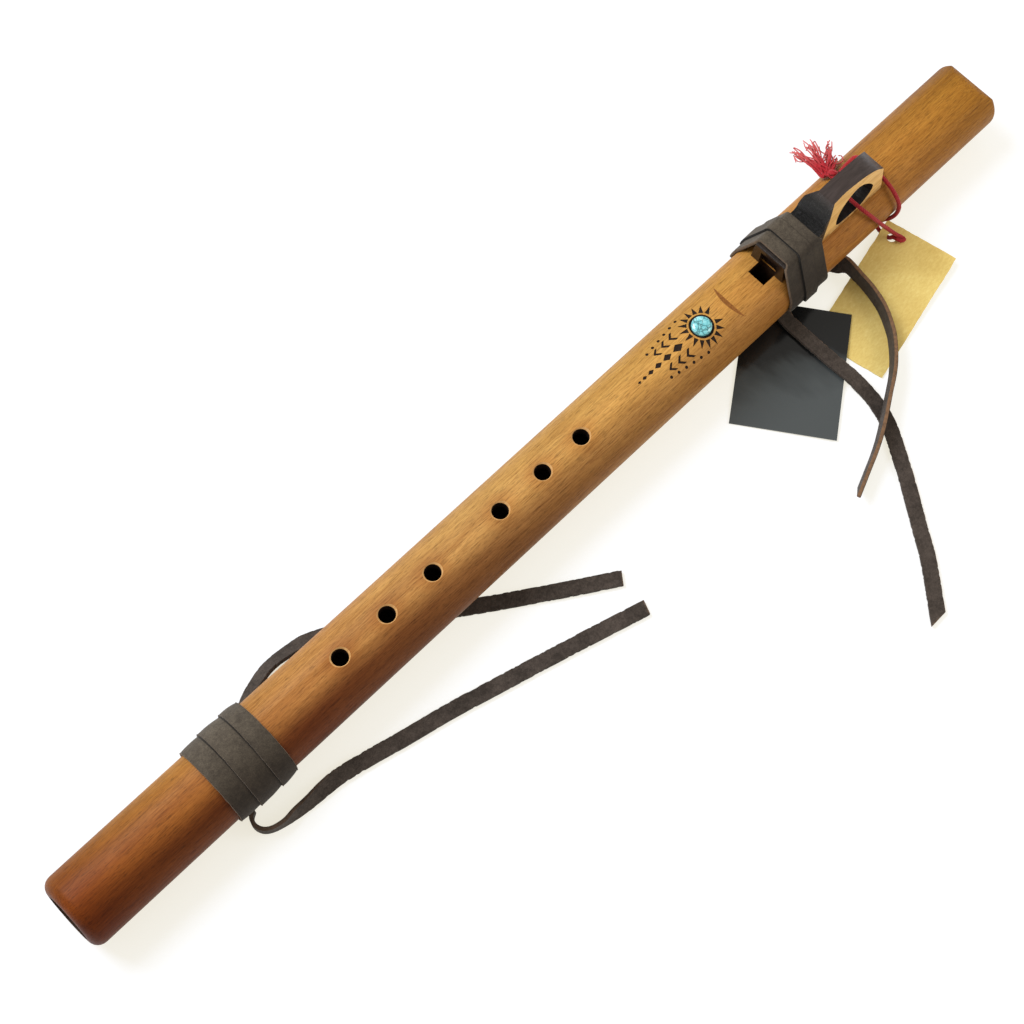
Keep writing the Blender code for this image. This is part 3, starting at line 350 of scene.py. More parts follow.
def body_wood():
    """Oiled wood, red-brown at both ends, with stain and painted shade on the near side and a golden
    far side in painted light.
    """
    net = Net("honey_wood", 0.50, 0.13)
    along, across, _ = net.axes()
    length = net.span(along, -0.27, 0.27)
    tone = net.ramp(
        length,
        (0.02, (0.190, 0.042, 0.004)), (0.11, (0.320, 0.108, 0.018)), (0.24, (0.415, 0.178, 0.046)),
        (0.42, (0.50, 0.258, 0.075)), (0.62, (0.55, 0.285, 0.070)), (0.80, (0.47, 0.202, 0.040)),
        (0.98, (0.33, 0.140, 0.018)),
    )
    bands = net.noise((5, 110, 110), 3.0, 0.55, 0.5, (0, 0, 0.03))
    figure = net.noise((34, 60, 60), 2.0, 0.5, 0.3, (0, 0, 0.4))
    streaks = net.noise((75, 1500, 1500), 5.0, 0.80, 0.15, (0, 0, 0.03))
    pores = net.noise((260, 3000, 3000), 3.0, 0.6, 0.0, (0, 0, 0.04))
    wood = net.tint(tone, net.ramp(
        bands, (0.30, (0.76, 0.68, 0.58)), (0.50, (1.0, 1.0, 1.0)), (0.70, (1.12, 1.16, 1.22)),
    ))
    wood = net.tint(wood, net.ramp(figure, (0.32, (0.94, 0.92, 0.90)), (0.66, (1.06, 1.07, 1.08))))
    wood = net.tint(wood, net.ramp(
        streaks, (0.30, (0.58, 0.48, 0.38)), (0.47, (0.96, 0.94, 0.92)), (0.70, (1.22, 1.28, 1.34)),
    ))
    dark_pores = net.ramp(pores, (0.36, 0.50), (0.48, 1.0))
    wood = net.tint(wood, dark_pores, 0.75)
    side = net.math("DIVIDE", across, -HALF_WIDTH)
    # Darker near side, most towards the foot: partly the wood's own stain, partly painted shade.
    near = net.span(side, -0.02, 0.64, interpolation_type="SMOOTHSTEP")
    near_stain_and_shade = net.ramp(
        length,
        (0.01, 0.60), (0.10, 0.82), (0.22, 1.0), (0.39, 0.80), (0.57, 0.48), (0.69, 0.42),
        (0.88, 0.18), (0.98, 0.0),
    )
    wood = net.tint(wood, (0.32, 0.19, 0.16), net.product(near, near_stain_and_shade))
    # Far side, which faces the window lamp: paler and golden as painted light, redder at the foot, and
    # a little darker along the middle as painted shade.
    far = net.span(side, -0.1, -0.9)
    wood = net.tint(wood, (1.02, 1.42, 1.25), far)
    wood = net.tint(wood, (0.92, 0.68, 0.78), net.product(far, net.span(along, -0.27, -0.12)))
    mid_length = net.product(net.span(along, -0.14, -0.06), net.span(along, 0.16, 0.08))
    wood = net.tint(wood, (0.86, 0.84, 0.80), net.product(far, mid_length))
    for station in HOLE_STATIONS:
        away = net.math("DIVIDE", net.math("SUBTRACT", along, station), 8.5 * MM)
        aside = net.math("DIVIDE", across, 7.5 * MM)
        squares = net.math("ADD", net.product(away, away), net.product(aside, aside))
        halo = net.span(net.math("SQRT", squares), 0.5, 1.25, 0.55, 0.0)
        wood = net.tint(wood, (0.76, 0.58, 0.46), halo)
    height = net.mix(0.5, streaks, dark_pores)
    return net.finish(wood, height, 0.12, 0.0002, net.span(streaks, 0.3, 0.7, 0.56, 0.44))


def streaked_wood(name):
    roughness, gloss, scale, dark, light, light_at, bump = STREAKED_WOODS[name]
    net = Net(name, roughness, gloss)
    streaks = net.noise(scale, 3.0)
    return net.finish(net.ramp(streaks, (0.3, dark), (light_at, light)), streaks, bump)


def charred_wood():
    """Black crackled wood, browner at the block's front and smooth on the ring's crest."""
    net = Net("charred_wood", 0.30, 0.45)
    behind = net.behind_front()
    streaks = net.noise((60, 900, 500), 4.0, 0.6)
    crackle = net.noise((900, 1300, 1300), 5.0, 0.75)
    specks = net.noise(2600)
    black = net.ramp(streaks, (0.3, (0.003, 0.003, 0.003)), (0.7, (0.009, 0.008, 0.007)))
    crest = net.ramp(streaks, (0.3, (0.024, 0.016, 0.014)), (0.7, (0.056, 0.040, 0.037)))
    brown = net.ramp(streaks, (0.3, (0.008, 0.005, 0.004)), (0.7, (0.022, 0.013, 0.010)))
    on_crest = net.span(behind, 29.0, 34.0)
    at_front = net.span(behind, 3.0, 6.0, 1.0, 0.0)
    dark = net.mix(at_front, net.mix(on_crest, black, crest), brown)
    charred = net.product(
        net.math("SUBTRACT", 1.0, on_crest), net.math("SUBTRACT", 1.0, at_front),
    )
    flecks = net.product(net.ramp(specks, (0.60, 0.0), (0.70, 1.0)), charred, 0.30)
    dark = net.mix(flecks, dark, (0.20, 0.18, 0.17))
    height = net.product(crackle, net.math("ADD", charred, 0.06))
    return net.finish(dark, height, 1.0, 0.0010, net.span(charred, 0.0, 1.0, 0.30, 0.36))


def eye_wood():
    """The glossy black wall of the ring's eye."""
    net = Net("eye_wood", 0.28, 0.6)
    tool_marks = net.noise((500, 120, 900), 4.0, 0.6)
    black = net.ramp(tool_marks, (0.3, (0.004, 0.003, 0.003)), (0.7, (0.014, 0.011, 0.010)))
    return net.finish(black, tool_marks, 0.8, 0.0008)


def planed_wood():
    """The pale sides of the ring, darker brown in patches at the front and along the foot."""
    net = Net("planed_wood", 0.5, 0.3)
    streaks = net.noise((60, 900, 620), 4.0, 0.6, 0.3, (0, 0.12, 0))
    wood = net.ramp(
        streaks, (0.30, (0.60, 0.33, 0.095)), (0.52, (0.78, 0.47, 0.155)), (0.75, (0.88, 0.58, 0.23)),
    )
    edge = net.span(net.behind_front(), 24.0, 28.0, 0.8, 0.0)
    low = net.span(net.axes()[2], BLOCK_LOW.z + 3.5 * MM, BLOCK_LOW.z + 0.5 * MM, 0.0, 0.8)
    patches = net.span(net.noise(260, 3.0), 0.35, 0.6)
    darker_share = net.product(net.math("MAXIMUM", edge, low), patches)
    return net.finish(net.mix(darker_share, wood, (0.16, 0.060, 0.018)), streaks, 0.12)


def leather(name, face_low, face_high, edge, near_shade=None):
    """Rough leather with lighter cut edges, painted shade in creases and, on a wrap, a near side
    darkened as painted shade.
    """
    net = Net(name, 0.84, 0.22, Sheen_Weight=0.10, Sheen_Roughness=0.5)
    mottle = net.noise(130, 5.0, 0.65)
    grain = net.noise(2100, 3.0, 0.65)
    nap = net.noise(640, 4.0, 0.65)
    tone = net.math("ADD", net.product(mottle, 0.55), net.product(nap, 0.45))
    face = net.ramp(tone, (0.38, face_low), (0.62, face_high))
    face = net.tint(face, net.ramp(grain, (0.36, 0.50), (0.64, 1.35)), 0.5)
    # On a wrap, painted shade darkens the leather towards its near side.
    if near_shade:
        face = net.tint(face, near_shade, net.span(net.axes()[1], 2 * MM, -16 * MM))
    cut = net.product(net.attribute("cut_edge"), net.span(nap, 0.35, 0.6, 0.5, 1.0))
    # Painted shade in the creases between turns of lace.
    dark = net.mix(net.attribute("crease"), face, (0.010, 0.008, 0.006))
    return net.finish(net.mix(cut, dark, edge), net.mix(0.5, grain, nap), 0.30, 0.0004)


def turquoise():
    net = Net("turquoise", 0.14, Coat_Weight=0.4, Coat_Roughness=0.06)
    clouds = net.noise(420, 4.0, 0.6, 0.6)
    stone = net.ramp(
        clouds, (0.34, (0.11, 0.44, 0.50)), (0.52, (0.24, 0.66, 0.71)), (0.70, (0.52, 0.83, 0.84)),
    )
    inputs = {"Vector": net.place, "Scale": 700.0, "Detail": 3.0}
    warp = net.node("ShaderNodeTexNoise", inputs).outputs["Color"]
    inputs = {0: warp, 1: (0.0011, 0.0011, 0.0011), 2: net.place}
    bent = net.node("ShaderNodeVectorMath", inputs, operation="MULTIPLY_ADD").outputs[0]
    inputs = {"Vector": bent, "Scale": 400.0}
    cells = net.node("ShaderNodeTexVoronoi", inputs, feature="DISTANCE_TO_EDGE")
    vein = net.ramp(cells.outputs["Distance"], (0.02, 1.0), (0.075, 0.0))
    strength = net.span(clouds, 0.35, 0.65, 1.0, 0.6)
    return net.finish(net.mix(net.product(vein, strength), stone, (0.030, 0.12, 0.13)))


def red_thread():
    net = Net("red_thread", 0.62, 0.3, Sheen_Weight=0.2, Sheen_Roughness=0.4)
    fibre = net.noise(2600)
    red = net.ramp(fibre, (0.3, (0.24, 0.007, 0.012)), (0.7, (0.48, 0.022, 0.030)))
    return net.finish(net.mix(net.product(net.noise(300), 0.3), red, (0.42, 0.018, 0.024)), fibre, 0.4)


def frayed_thread():
    net = Net("frayed_thread", 0.7, 0.25, Sheen_Weight=0.3, Sheen_Roughness=0.4)
    fibre = net.noise(1800)
    root = net.ramp(fibre, (0.3, (0.30, 0.008, 0.014)), (0.7, (0.52, 0.022, 0.034)))
    tip = net.span(net.attribute("along"), 0.35, 1.0, 0.0, 0.60)
    return net.finish(net.mix(tip, root, (0.78, 0.20, 0.19)), fibre, 0.2)


def gold_card():
    net = Net("gold_card", 0.45)
    brush = net.noise((420, 900, 900), 5.0, 0.75, 0.0, (0, 0, math.radians(-33)))
    gold = net.ramp(
        brush, (0.30, (0.74, 0.53, 0.14)), (0.52, (0.82, 0.62, 0.19)), (0.74, (0.90, 0.73, 0.27)),
    )
    clouds = net.ramp(net.noise(30), (0.35, (0.90, 0.86, 0.80)), (0.65, (1.10, 1.13, 1.20)))
    return net.finish(
        net.tint(gold, clouds), brush, 0.05, 0.0002, net.span(brush, 0.3, 0.7, 0.52, 0.38),
    )


def black_card():
    """Glossy card, near black at one corner and greyer past a soft wavy line, the grey being a painted
    reflection.
    """
    net = Net("black_card", 0.16, 0.35, Coat_Weight=0.3, Coat_Roughness=0.10)
    along, across, _ = net.axes()
    # Painted reflection: the card turns grey past a wavy line.
    reflection_slope = net.math("SUBTRACT", net.product(across, -1.0), net.product(along, 0.75))
    waves = net.noise((70, 26, 28), 3.0, 0.55, 0.0, (0, 0, 0.6))
    reflection_at = net.math("ADD", net.span(reflection_slope, -0.085, -0.020), net.span(waves, 0.3, 0.7, -0.12, 0.12))
    tone = net.ramp(
        reflection_at, (0.36, (0.009, 0.0095, 0.010)), (0.47, (0.040, 0.046, 0.048)),
        (0.75, (0.066, 0.075, 0.078)),
    )
    return net.finish(tone, waves, 0.10, 0.001, net.span(waves, 0.3, 0.7, 0.14, 0.22))


def mesh_of(work, name):
    mesh = bpy.data.meshes.new(name)
    work.to_mesh(mesh)
    work.free()
    return mesh


def shade(mesh, degrees):
    """Smooth faces, with edges sharper than this angle kept crisp."""
    for face in mesh.polygons:
        face.use_smooth = True
    mesh.set_sharp_from_angle(angle=math.radians(degrees))


def declare(piece, body, slot, *nodes):
    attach(piece, body)
    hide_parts(*nodes)


def make_piece(name, work, materials, slot, node, crisp, body="flute", **attributes):
    """A piece in place of one node. An attribute holds one value for each vertex."""
    bmesh.ops.recalc_face_normals(work, faces=work.faces)
    mesh = mesh_of(work, name)
    for key, values in attributes.items():
        mesh.attributes.new(key, "FLOAT", "POINT").data.foreach_set("value", values)
    for material in materials:
        mesh.materials.append(material)
    shade(mesh, crisp)
    piece = add_object(name, mesh)
    declare(piece, body, slot, node)
    return piece


def soften(piece, width, segments, degrees):
    """Rounds the edges that are sharper than this angle."""
    bevel = piece.modifiers.new("soft_edges", "BEVEL")
    bevel.width = width
    bevel.segments = segments
    bevel.limit_method = "ANGLE"
    bevel.angle_limit = math.radians(degrees)
    return bevel


def waver(*place):
    """Smooth noise from about -1 to 1."""
    return noise.noise(Vector(place))


def angles(count, shift=0.0):
    """Even steps round a full turn."""
    return [2 * math.pi * (step + shift) / count for step in range(count)]


def circle(centre, across, up, radius, count):
    return [centre + radius * (across * math.cos(a) + up * math.sin(a)) for a in angles(count)]


def smooth_path(route, count):
    """Evenly spaced points on a smooth curve through the route's own points."""
    points = [Vector(point) for point in route]
    points = [2 * points[0] - points[1], *points, 2 * points[-1] - points[-2]]
    fine = []
    for before, start, end, after in zip(points, points[1:], points[2:], points[3:]):
        for step in range(16):
            t = step / 16
            squared = (2 * before - 5 * start + 4 * end - after) * t**2
            cubed = (3 * start - before - 3 * end + after) * t**3
            fine.append(0.5 * (2 * start + (end - before) * t + squared + cubed))
    fine.append(points[-2])
    lengths = [0.0]
    for first, second in zip(fine, fine[1:]):
        lengths.append(lengths[-1] + (second - first).xyz.length)
    result = []
    index = 0
    for step in range(count):
        wanted = lengths[-1] * step / (count - 1)
        while index < len(fine) - 2 and lengths[index + 1] < wanted:
            index += 1
        part = (wanted - lengths[index]) / (lengths[index + 1] - lengths[index])
        result.append(fine[index].lerp(fine[index + 1], part))
    return result


def path_length(points):
    return sum((second - first).xyz.length for first, second in zip(points, points[1:]))


def directions(points):
    last = len(points) - 1
    return [
        (points[min(i + 1, last)].xyz - points[max(i - 1, 0)].xyz).normalized()
        for i in range(last + 1)
    ]


def skin(work, rings, joined=False):
    """Faces over rings of points. The last ring meets the first, or both ends get a cap."""
    made = [[work.verts.new(point) for point in ring] for ring in rings]
    for ring, following in zip(made, made[1:] + (made[:1] if joined else [])):
        for i in range(len(ring)):
            j = (i + 1) % len(ring)
            work.faces.new((ring[i], ring[j], following[j], following[i]))
    return [] if joined else [work.faces.new(made[0]), work.faces.new(made[-1])]


def strip_section(half_width, half_thick, steps=6):
    """A lace's section as (across, up, cut edge) points, counter-clockwise from below."""
    inner = half_width - TAIL_CORNER
    flat = [-inner + 2 * inner * i / steps for i in range(steps + 1)]
    raw = [
        (inner + TAIL_CORNER * math.cos(math.radians(angle)), rise * half_thick, 1.0)
        for angle, rise in RAW_EDGE
    ]
    return (
        [(across, -half_thick, 0.0) for across in flat]
        + raw
        + [(-across, half_thick, 0.0) for across in flat]
        + [(-across, rise, edge) for across, rise, edge in reversed(raw)]
    )


def make_tail(name, node, route, width, slant, pale, seed, material):
    """A free lace end: a leather strip with raw, nicked edges and a slanted cut end.

    The two values of pale tell how light the cut edge is on the strip's left and right side.
    """
    places = smooth_path(route, TAIL_STEPS)
    section = strip_section(width / 2 - 0.05 * MM, TAIL_THICKNESS / 2)
    rings = []
    cut = []
    for index, (place, head) in enumerate(zip(places, directions(places))):
        side = Vector((0, 0, 1)).cross(head).normalized()
        up = head.cross(side)
        turn = math.radians(place.w)
        across = side * math.cos(turn) + up * math.sin(turn)
        outward = up * math.cos(turn) - side * math.sin(turn)
        end_part = max(0.0, (index - (TAIL_STEPS - 1 - SLANT_STEPS)) / SLANT_STEPS)
        ring = []
        for across_at, rise, edge in section:
            hand = 1 if across_at > 0 else -1
            wear = abs(waver(index * 0.16, hand * 3.1, seed)) * EDGE_WEAR
            wear += max(0.0, waver(index * 0.55, hand * 7.7, seed + 9) - 0.12) * NICK_DEPTH
            shift = across_at - (hand * wear if edge else 0)
            thin = 1.0 - 0.08 * abs(waver(index * 0.1, across_at * 200, seed + 4))
            forward = end_part * slant * across_at
            ring.append(place.xyz + across * shift + outward * rise * thin + head * forward)
            cut.append(edge * (pale[0] if across_at > 0 else pale[1]))
        rings.append(ring)
    cut[-len(section):] = [0.5] * len(section)
    work = bmesh.new()
    skin(work, rings)
    piece = make_piece(
        name, work, [material], "dark_leather", node, 50, cut_edge=cut, crease=[0.0] * len(cut),
    )


def make_cord(material):
    """The red cord, three plies twisted together, and the path that it follows."""
    places = smooth_path(CORD_ROUTE, CORD_STEPS)
    heads = directions(places)
    turns = path_length(places) / PLY_PITCH
    side = heads[0].orthogonal().normalized()
    rings = []
    for index, (place, head) in enumerate(zip(places, heads)):
        side = (side - head * side.dot(head)).normalized()
        up = head.cross(side)
        twist = 2 * math.pi * turns * index / (CORD_STEPS - 1)
        ring = []
        for step, angle in enumerate(angles(CORD_SIDES)):
            lobe = abs(math.cos(1.5 * (angle - twist)))
            radius = CORD_DIAMETER / 2 * (0.80 + 0.20 * lobe ** 0.7)
            radius *= 1 + 0.05 * waver(index * 0.5, step * 0.8, 3.0)
            ring.append(place + radius * (side * math.cos(angle) + up * math.sin(angle)))
        rings.append(ring)
    work = bmesh.new()
    skin(work, rings)
    return make_piece("red_cord_twisted", work, [material], "red_thread", "red_cord", 60), places


def make_floor():
    """A pale table that keeps soft warm shadows, with a white surround."""
    bpy.ops.mesh.primitive_plane_add(size=400, location=(0, 0, -0.05 * MM))
    floor = bpy.context.object
    floor.name = "floor"
    net = Net("floor_paper")
    net.tree.nodes.remove(net.shader)
    paper = net.node("ShaderNodeBsdfDiffuse", {"Color": (0.90, 0.89, 0.87)}).outputs[0]
    shadow = net.node("ShaderNodeBsdfDiffuse", {"Color": (0.30, 0.35, 0.50)}).outputs[0]
    place = net.node("ShaderNodeNewGeometry").outputs["Position"]
    reach = net.node("ShaderNodeVectorMath", {0: place}, operation="LENGTH").outputs["Value"]
    white = net.mix(net.span(reach, 0.5, 1.5), (0.76, 0.72, 0.60), (1, 1, 1))
    glow = net.node("ShaderNodeEmission", {"Color": white}).outputs[0]
    both = net.node("ShaderNodeAddShader", {0: shadow, 1: glow}).outputs[0]
    rays = net.node("ShaderNodeLightPath").outputs
    seen = net.math("MAXIMUM", rays["Is Camera Ray"], rays["Is Glossy Ray"])
    surface = net.node("ShaderNodeMixShader", {0: seen, 1: paper, 2: both}).outputs[0]
    net.put(net.tree.nodes["Material Output"].inputs["Surface"], surface)
    floor.data.materials.append(net.material)


def make_lights():
    """A large soft window light from the far side, a weak one near the mouth, and a surround."""
    world = bpy.data.worlds.new("surround")
    bpy.context.scene.world = world
    world.use_nodes = True
    background = world.node_tree.nodes["Background"]
    background.inputs["Color"].default_value = (1.0, 0.95, 0.87, 1)
    background.inputs["Strength"].default_value = 0.50
    for name, (place, size, power, colour) in LAMPS.items():
        data = bpy.data.lights.new(name, "AREA")
        data.shape = "SQUARE"
        data.size = size
        data.energy = power
        data.color = colour
        lamp = add_object(name, data)
        lamp.location = place
        lamp.rotation_mode = "QUATERNION"
        lamp.rotation_quaternion = (LAMP_TARGET - place).to_track_quat("-Z", "Y")


def cad_copy(*names):
    """The welded solids of one or more CAD nodes."""
    work = bmesh.new()
    for name in names:
        work.from_mesh(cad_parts[name].data)
    bmesh.ops.remove_doubles(work, verts=work.verts, dist=2e-6)
    return work


def join_flats(work):
    """Makes flat faces whole again."""
    bmesh.ops.dissolve_limit(
        work, angle_limit=math.radians(0.6), verts=work.verts, edges=work.edges,
        use_dissolve_boundaries=False,
    )
    bmesh.ops.recalc_face_normals(work, faces=work.faces)


def make_body_blank():
    """Both halves of the tube as one piece: the glue line closes at the level of the axis."""
    work = cad_copy("upper_body_half", "lower_body_half")
    seam = {v for v in work.verts if abs(v.co.z - AXIS_Z) < 0.2 * MM}
    for vert in seam:
        vert.co.z = AXIS_Z
    inside = [f for f in work.faces if all(v in seam for v in f.verts)]
    bmesh.ops.delete(work, geom=inside, context="FACES_ONLY")
    bmesh.ops.remove_doubles(work, verts=work.verts, dist=5e-6)
    loose = [v for v in work.verts if not v.link_faces]
    bmesh.ops.delete(work, geom=loose, context="VERTS")
    join_flats(work)
    return mesh_of(work, "flute_body")


def on_tube(x, arc, lift=0.0):
    """The point at this arc length from the top line of the tube, lifted off its surface."""
    angle = arc / ((HALF_WIDTH + HALF_HEIGHT) / 2)
    return Vector((
        x, (HALF_WIDTH + lift) * math.sin(angle), AXIS_Z + (HALF_HEIGHT + lift) * math.cos(angle)
    ))


def stamp(work, outline):
    """Adds one closed cutter for a burnt mark with this (X, arc) outline."""
    fine = []
    for (x0, s0), (x1, s1) in zip(outline, outline[1:] + outline[:1]):
        parts = max(1, math.ceil(abs(s1 - s0) / (0.8 * MM)))
        fine += [(x0 + (x1 - x0) * i / parts, s0 + (s1 - s0) * i / parts) for i in range(parts)]
    caps = skin(work, [[on_tube(x, s, lift) for x, s in fine] for lift in (-MARK_DEPTH, CUTTER_TOP)])
    bmesh.ops.triangulate(work, faces=caps)


def ring_stamp(work):
    """Adds the cutter for a burnt ring round the stone."""
    section = (
        (STONE_SEAT, -RING_DEPTH), (STONE_RING, -RING_DEPTH), (STONE_RING, CUTTER_TOP),
        (STONE_SEAT, CUTTER_TOP),
    )
    skin(work, [
        [on_tube(STONE_X + out * math.cos(a), out * math.sin(a), lift) for out, lift in section]
        for a in angles(64)
    ], joined=True)


def ornament_cutter(material):
    """A generic burnt design: triangles round the stone, then diamonds, chevrons and dots."""
    work = bmesh.new()

    def mark(points):
        """Points are millimetres across the tube and along it from the stone to the foot."""
        stamp(work, [(STONE_X - along * MM, across * MM) for across, along in points])

    ring_stamp(work)
    for middle in angles(16)[1:]:
        corners = ((6.4, middle - 0.165), (6.4, middle + 0.165), (10.4, middle))
        mark([(out * math.sin(angle), -out * math.cos(angle)) for out, angle in corners])
    for along, long, wide in DIAMONDS:
        mark([(0, along - long), (wide, along), (0, along + long), (-wide, along)])
    for side in (-1, 1):
        for number in range(5):
            along = 12.6 + 5.0 * number
            out = side * (5.2 - 0.35 * number)
            arm = 2.2 - 0.2 * number
            mark([
                (out - arm, along - 1.5), (out, along + 0.7), (out + arm, along - 1.5),
                (out + arm, along - 0.1), (out, along + 2.2), (out - arm, along - 0.1),
            ])
        for number in range(6):
            along = 5.6 + 4.1 * number
            out = side * (10.2 - 0.6 * number)
            mark([(out + 0.75 * math.cos(a), along + 0.75 * math.sin(a)) for a in angles(8)])
    bmesh.ops.recalc_face_normals(work, faces=work.faces)
    mesh = mesh_of(work, "burnt_marks")
    mesh.materials.append(material)
    return add_object("burnt_marks", mesh)


def surface_of(face):
    """Which wood shows on this face of the tube."""
    middle, normal = face.center, face.normal
    height = middle.z - AXIS_Z
    reach = max(math.hypot(middle.y, height), 0.01 * MM)
    inward = -(normal.y * middle.y + normal.z * height) / reach
    in_seat = math.hypot(middle.x - STONE_X, middle.y) < STONE_RADIUS + 0.5 * MM
    if in_seat and height > 0 and (middle.z < STONE_LOW.z + 0.2 * MM or abs(normal.z) < 0.5):
        return "burnt_wood"
    past = 0.1 * MM
    in_length = SOUND_HOLE[0] - past < middle.x < SOUND_HOLE[1] + past
    in_hole = in_length and abs(middle.y) < SOUND_HOLE_HALF + past and height > 3 * MM
    lines_hole = inward > 0 or abs(normal.x) > 0.3 or abs(normal.y) > 0.8
    if in_hole and lines_hole and normal.z < 0.97:
        return "burnt_wood"
    # The nest's front slope gets painted shade.
    if normal.x > 0.3 and NEST_RAMP[0] < middle.x < NEST_RAMP[1] and height > 8 * MM:
        return "shaded_ramp_wood"
    from_hole = min(math.hypot(middle.x - station, middle.y) for station in HOLE_STATIONS)
    if height > 6 * MM and from_hole < HOLE_RIM_RADIUS + 0.05 * MM:
        return "burnt_wood" if from_hole < HOLE_RADIUS + 0.02 * MM else "rim_wood"
    level = (middle.y / HALF_WIDTH) ** 2 + (height / HALF_HEIGHT) ** 2
    end_wall = abs(normal.x) > 0.7 and abs(middle.x) < BODY_HIGH.x - 6 * MM
    # The inside of the bore and of the end openings gets near-black painted shade.
    if level < 0.62 and inward > 0.4 or level < 0.40 and end_wall:
        return "shaded_bore_wood"
    return "honey_wood"


def make_body():
    """The tube with its burnt marks, each face in the wood that shows there."""
    woods = {"honey_wood": body_wood()}
    for name in STREAKED_WOODS:
        woods[name] = streaked_wood(name)
    mesh = make_body_blank()
    for material in woods.values():
        mesh.materials.append(material)
    piece = add_object("flute_body", mesh)
    cutter = ornament_cutter(woods["burnt_wood"])
    marks = piece.modifiers.new("marks", "BOOLEAN")
    marks.object = cutter
    marks.solver = "EXACT"
    marks.material_mode = "TRANSFER"
    bpy.context.view_layer.update()
    graph = bpy.context.evaluated_depsgraph_get()
    cut = bpy.data.meshes.new_from_object(piece.evaluated_get(graph))
    bpy.data.objects.remove(cutter)
    piece.modifiers.clear()
    piece.data = cut
    slots = [material.name for material in cut.materials]
    for face in cut.polygons:
        if slots[face.material_index] != woods["burnt_wood"].name:
            face.material_index = slots.index(woods[surface_of(face)].name)
    shade(cut, 30)
    soften(piece, 0.28 * MM, 2, 38)
    declare(piece, "flute", "honey_wood", "upper_body_half", "lower_body_half")


def make_block():
    """The block: charred, with a rounded brow, pale ring sides and a glossy eye."""
    work = cad_copy("block")
    join_flats(work)
    front = BLOCK_LOW.x + 0.2 * MM
    ridge = BLOCK_LOW.z + SADDLE_HEIGHT - 0.2 * MM
    brow = [e for e in work.edges if all(v.co.x < front and v.co.z > ridge for v in e.verts)]
    bmesh.ops.bevel(
        work, geom=brow, offset=BROW_ROUNDING, offset_type="OFFSET", segments=5, profile=0.5,
        affect="EDGES", clamp_overlap=True,
    )
    charred, planed, eye = range(3)
    for face in work.faces:
        middle = face.calc_center_median()
        to_eye = EYE_CENTRE - middle
        faces_eye = face.normal.x * to_eye.x + face.normal.z * to_eye.z > 0
        is_side = abs(face.normal.y) > 0.6
        face.material_index = planed if is_side and middle.x > RING_START else charred
        if not is_side and faces_eye and abs(to_eye.x) < EYE_REACH:
            face.material_index = eye
    piece = make_piece(
        "carved_block", work, [charred_wood(), planed_wood(), eye_wood()], "charred_wood", "block",
        30, "block",
    )
    soften(piece, 0.40 * MM, 3, 35).material = charred


def make_stone():
    """A low polished dome."""
    height = STONE_HIGH.z - STONE_LOW.z
    girdle = 0.45 * height
    profile = [(STONE_RADIUS - 0.2 * MM, 0.0), (STONE_RADIUS, 0.2 * MM), (STONE_RADIUS, girdle)]
    for step in range(1, DOME_STEPS):
        angle = math.pi / 2 * step / DOME_STEPS
        rise = girdle + (height - girdle) * math.sin(angle)
        profile.append((STONE_RADIUS * math.cos(angle), rise))
    profile.append((0.01 * MM, height))
    work = bmesh.new()
    x_way, y_way = Vector((1, 0, 0)), Vector((0, 1, 0))
    skin(work, [
        circle(Vector((STONE_X, 0, STONE_LOW.z + rise)), x_way, y_way, out, STONE_SIDES)
        for out, rise in profile
    ])
    make_piece("stone_cabochon", work, [turquoise()], "turquoise", "turquoise_stone", 50)


def tube_section():
    """The tube's own section as (across, up, rounding) points."""
    return [
        (HALF_WIDTH * math.cos(a), AXIS_Z + HALF_HEIGHT * math.sin(a), 0.0)
        for a in angles(ROUND_TUBE)
    ]


def turn_profile(seam):
    """Points round a turn's section, from underneath: how far from the first edge to the second,
    the distance past it, the height as a share of the thickness, and if it is on a cut edge."""
    cut = [
        (LACE_CORNER * math.cos(math.radians(a)), 0.5 + 0.5 * math.sin(math.radians(a * 1.5)))
        for a in (-60, -20, 20, 60)
    ]
    top = (1.0, seam + 0.01, seam - 0.035, 0.7, 0.5, 0.3, 0.14, 0.05, 0.0)
    return (
        [(at, 0.0, 0.0, False) for at in (0.0, 0.35, 0.7, 1.0)]
        + [(1.0, past, share, True) for past, share in cut]
        + [(at, 0.0, 1.0, False) for at in top]
        + [(0.0, -past, share, True) for past, share in reversed(cut)]
    )


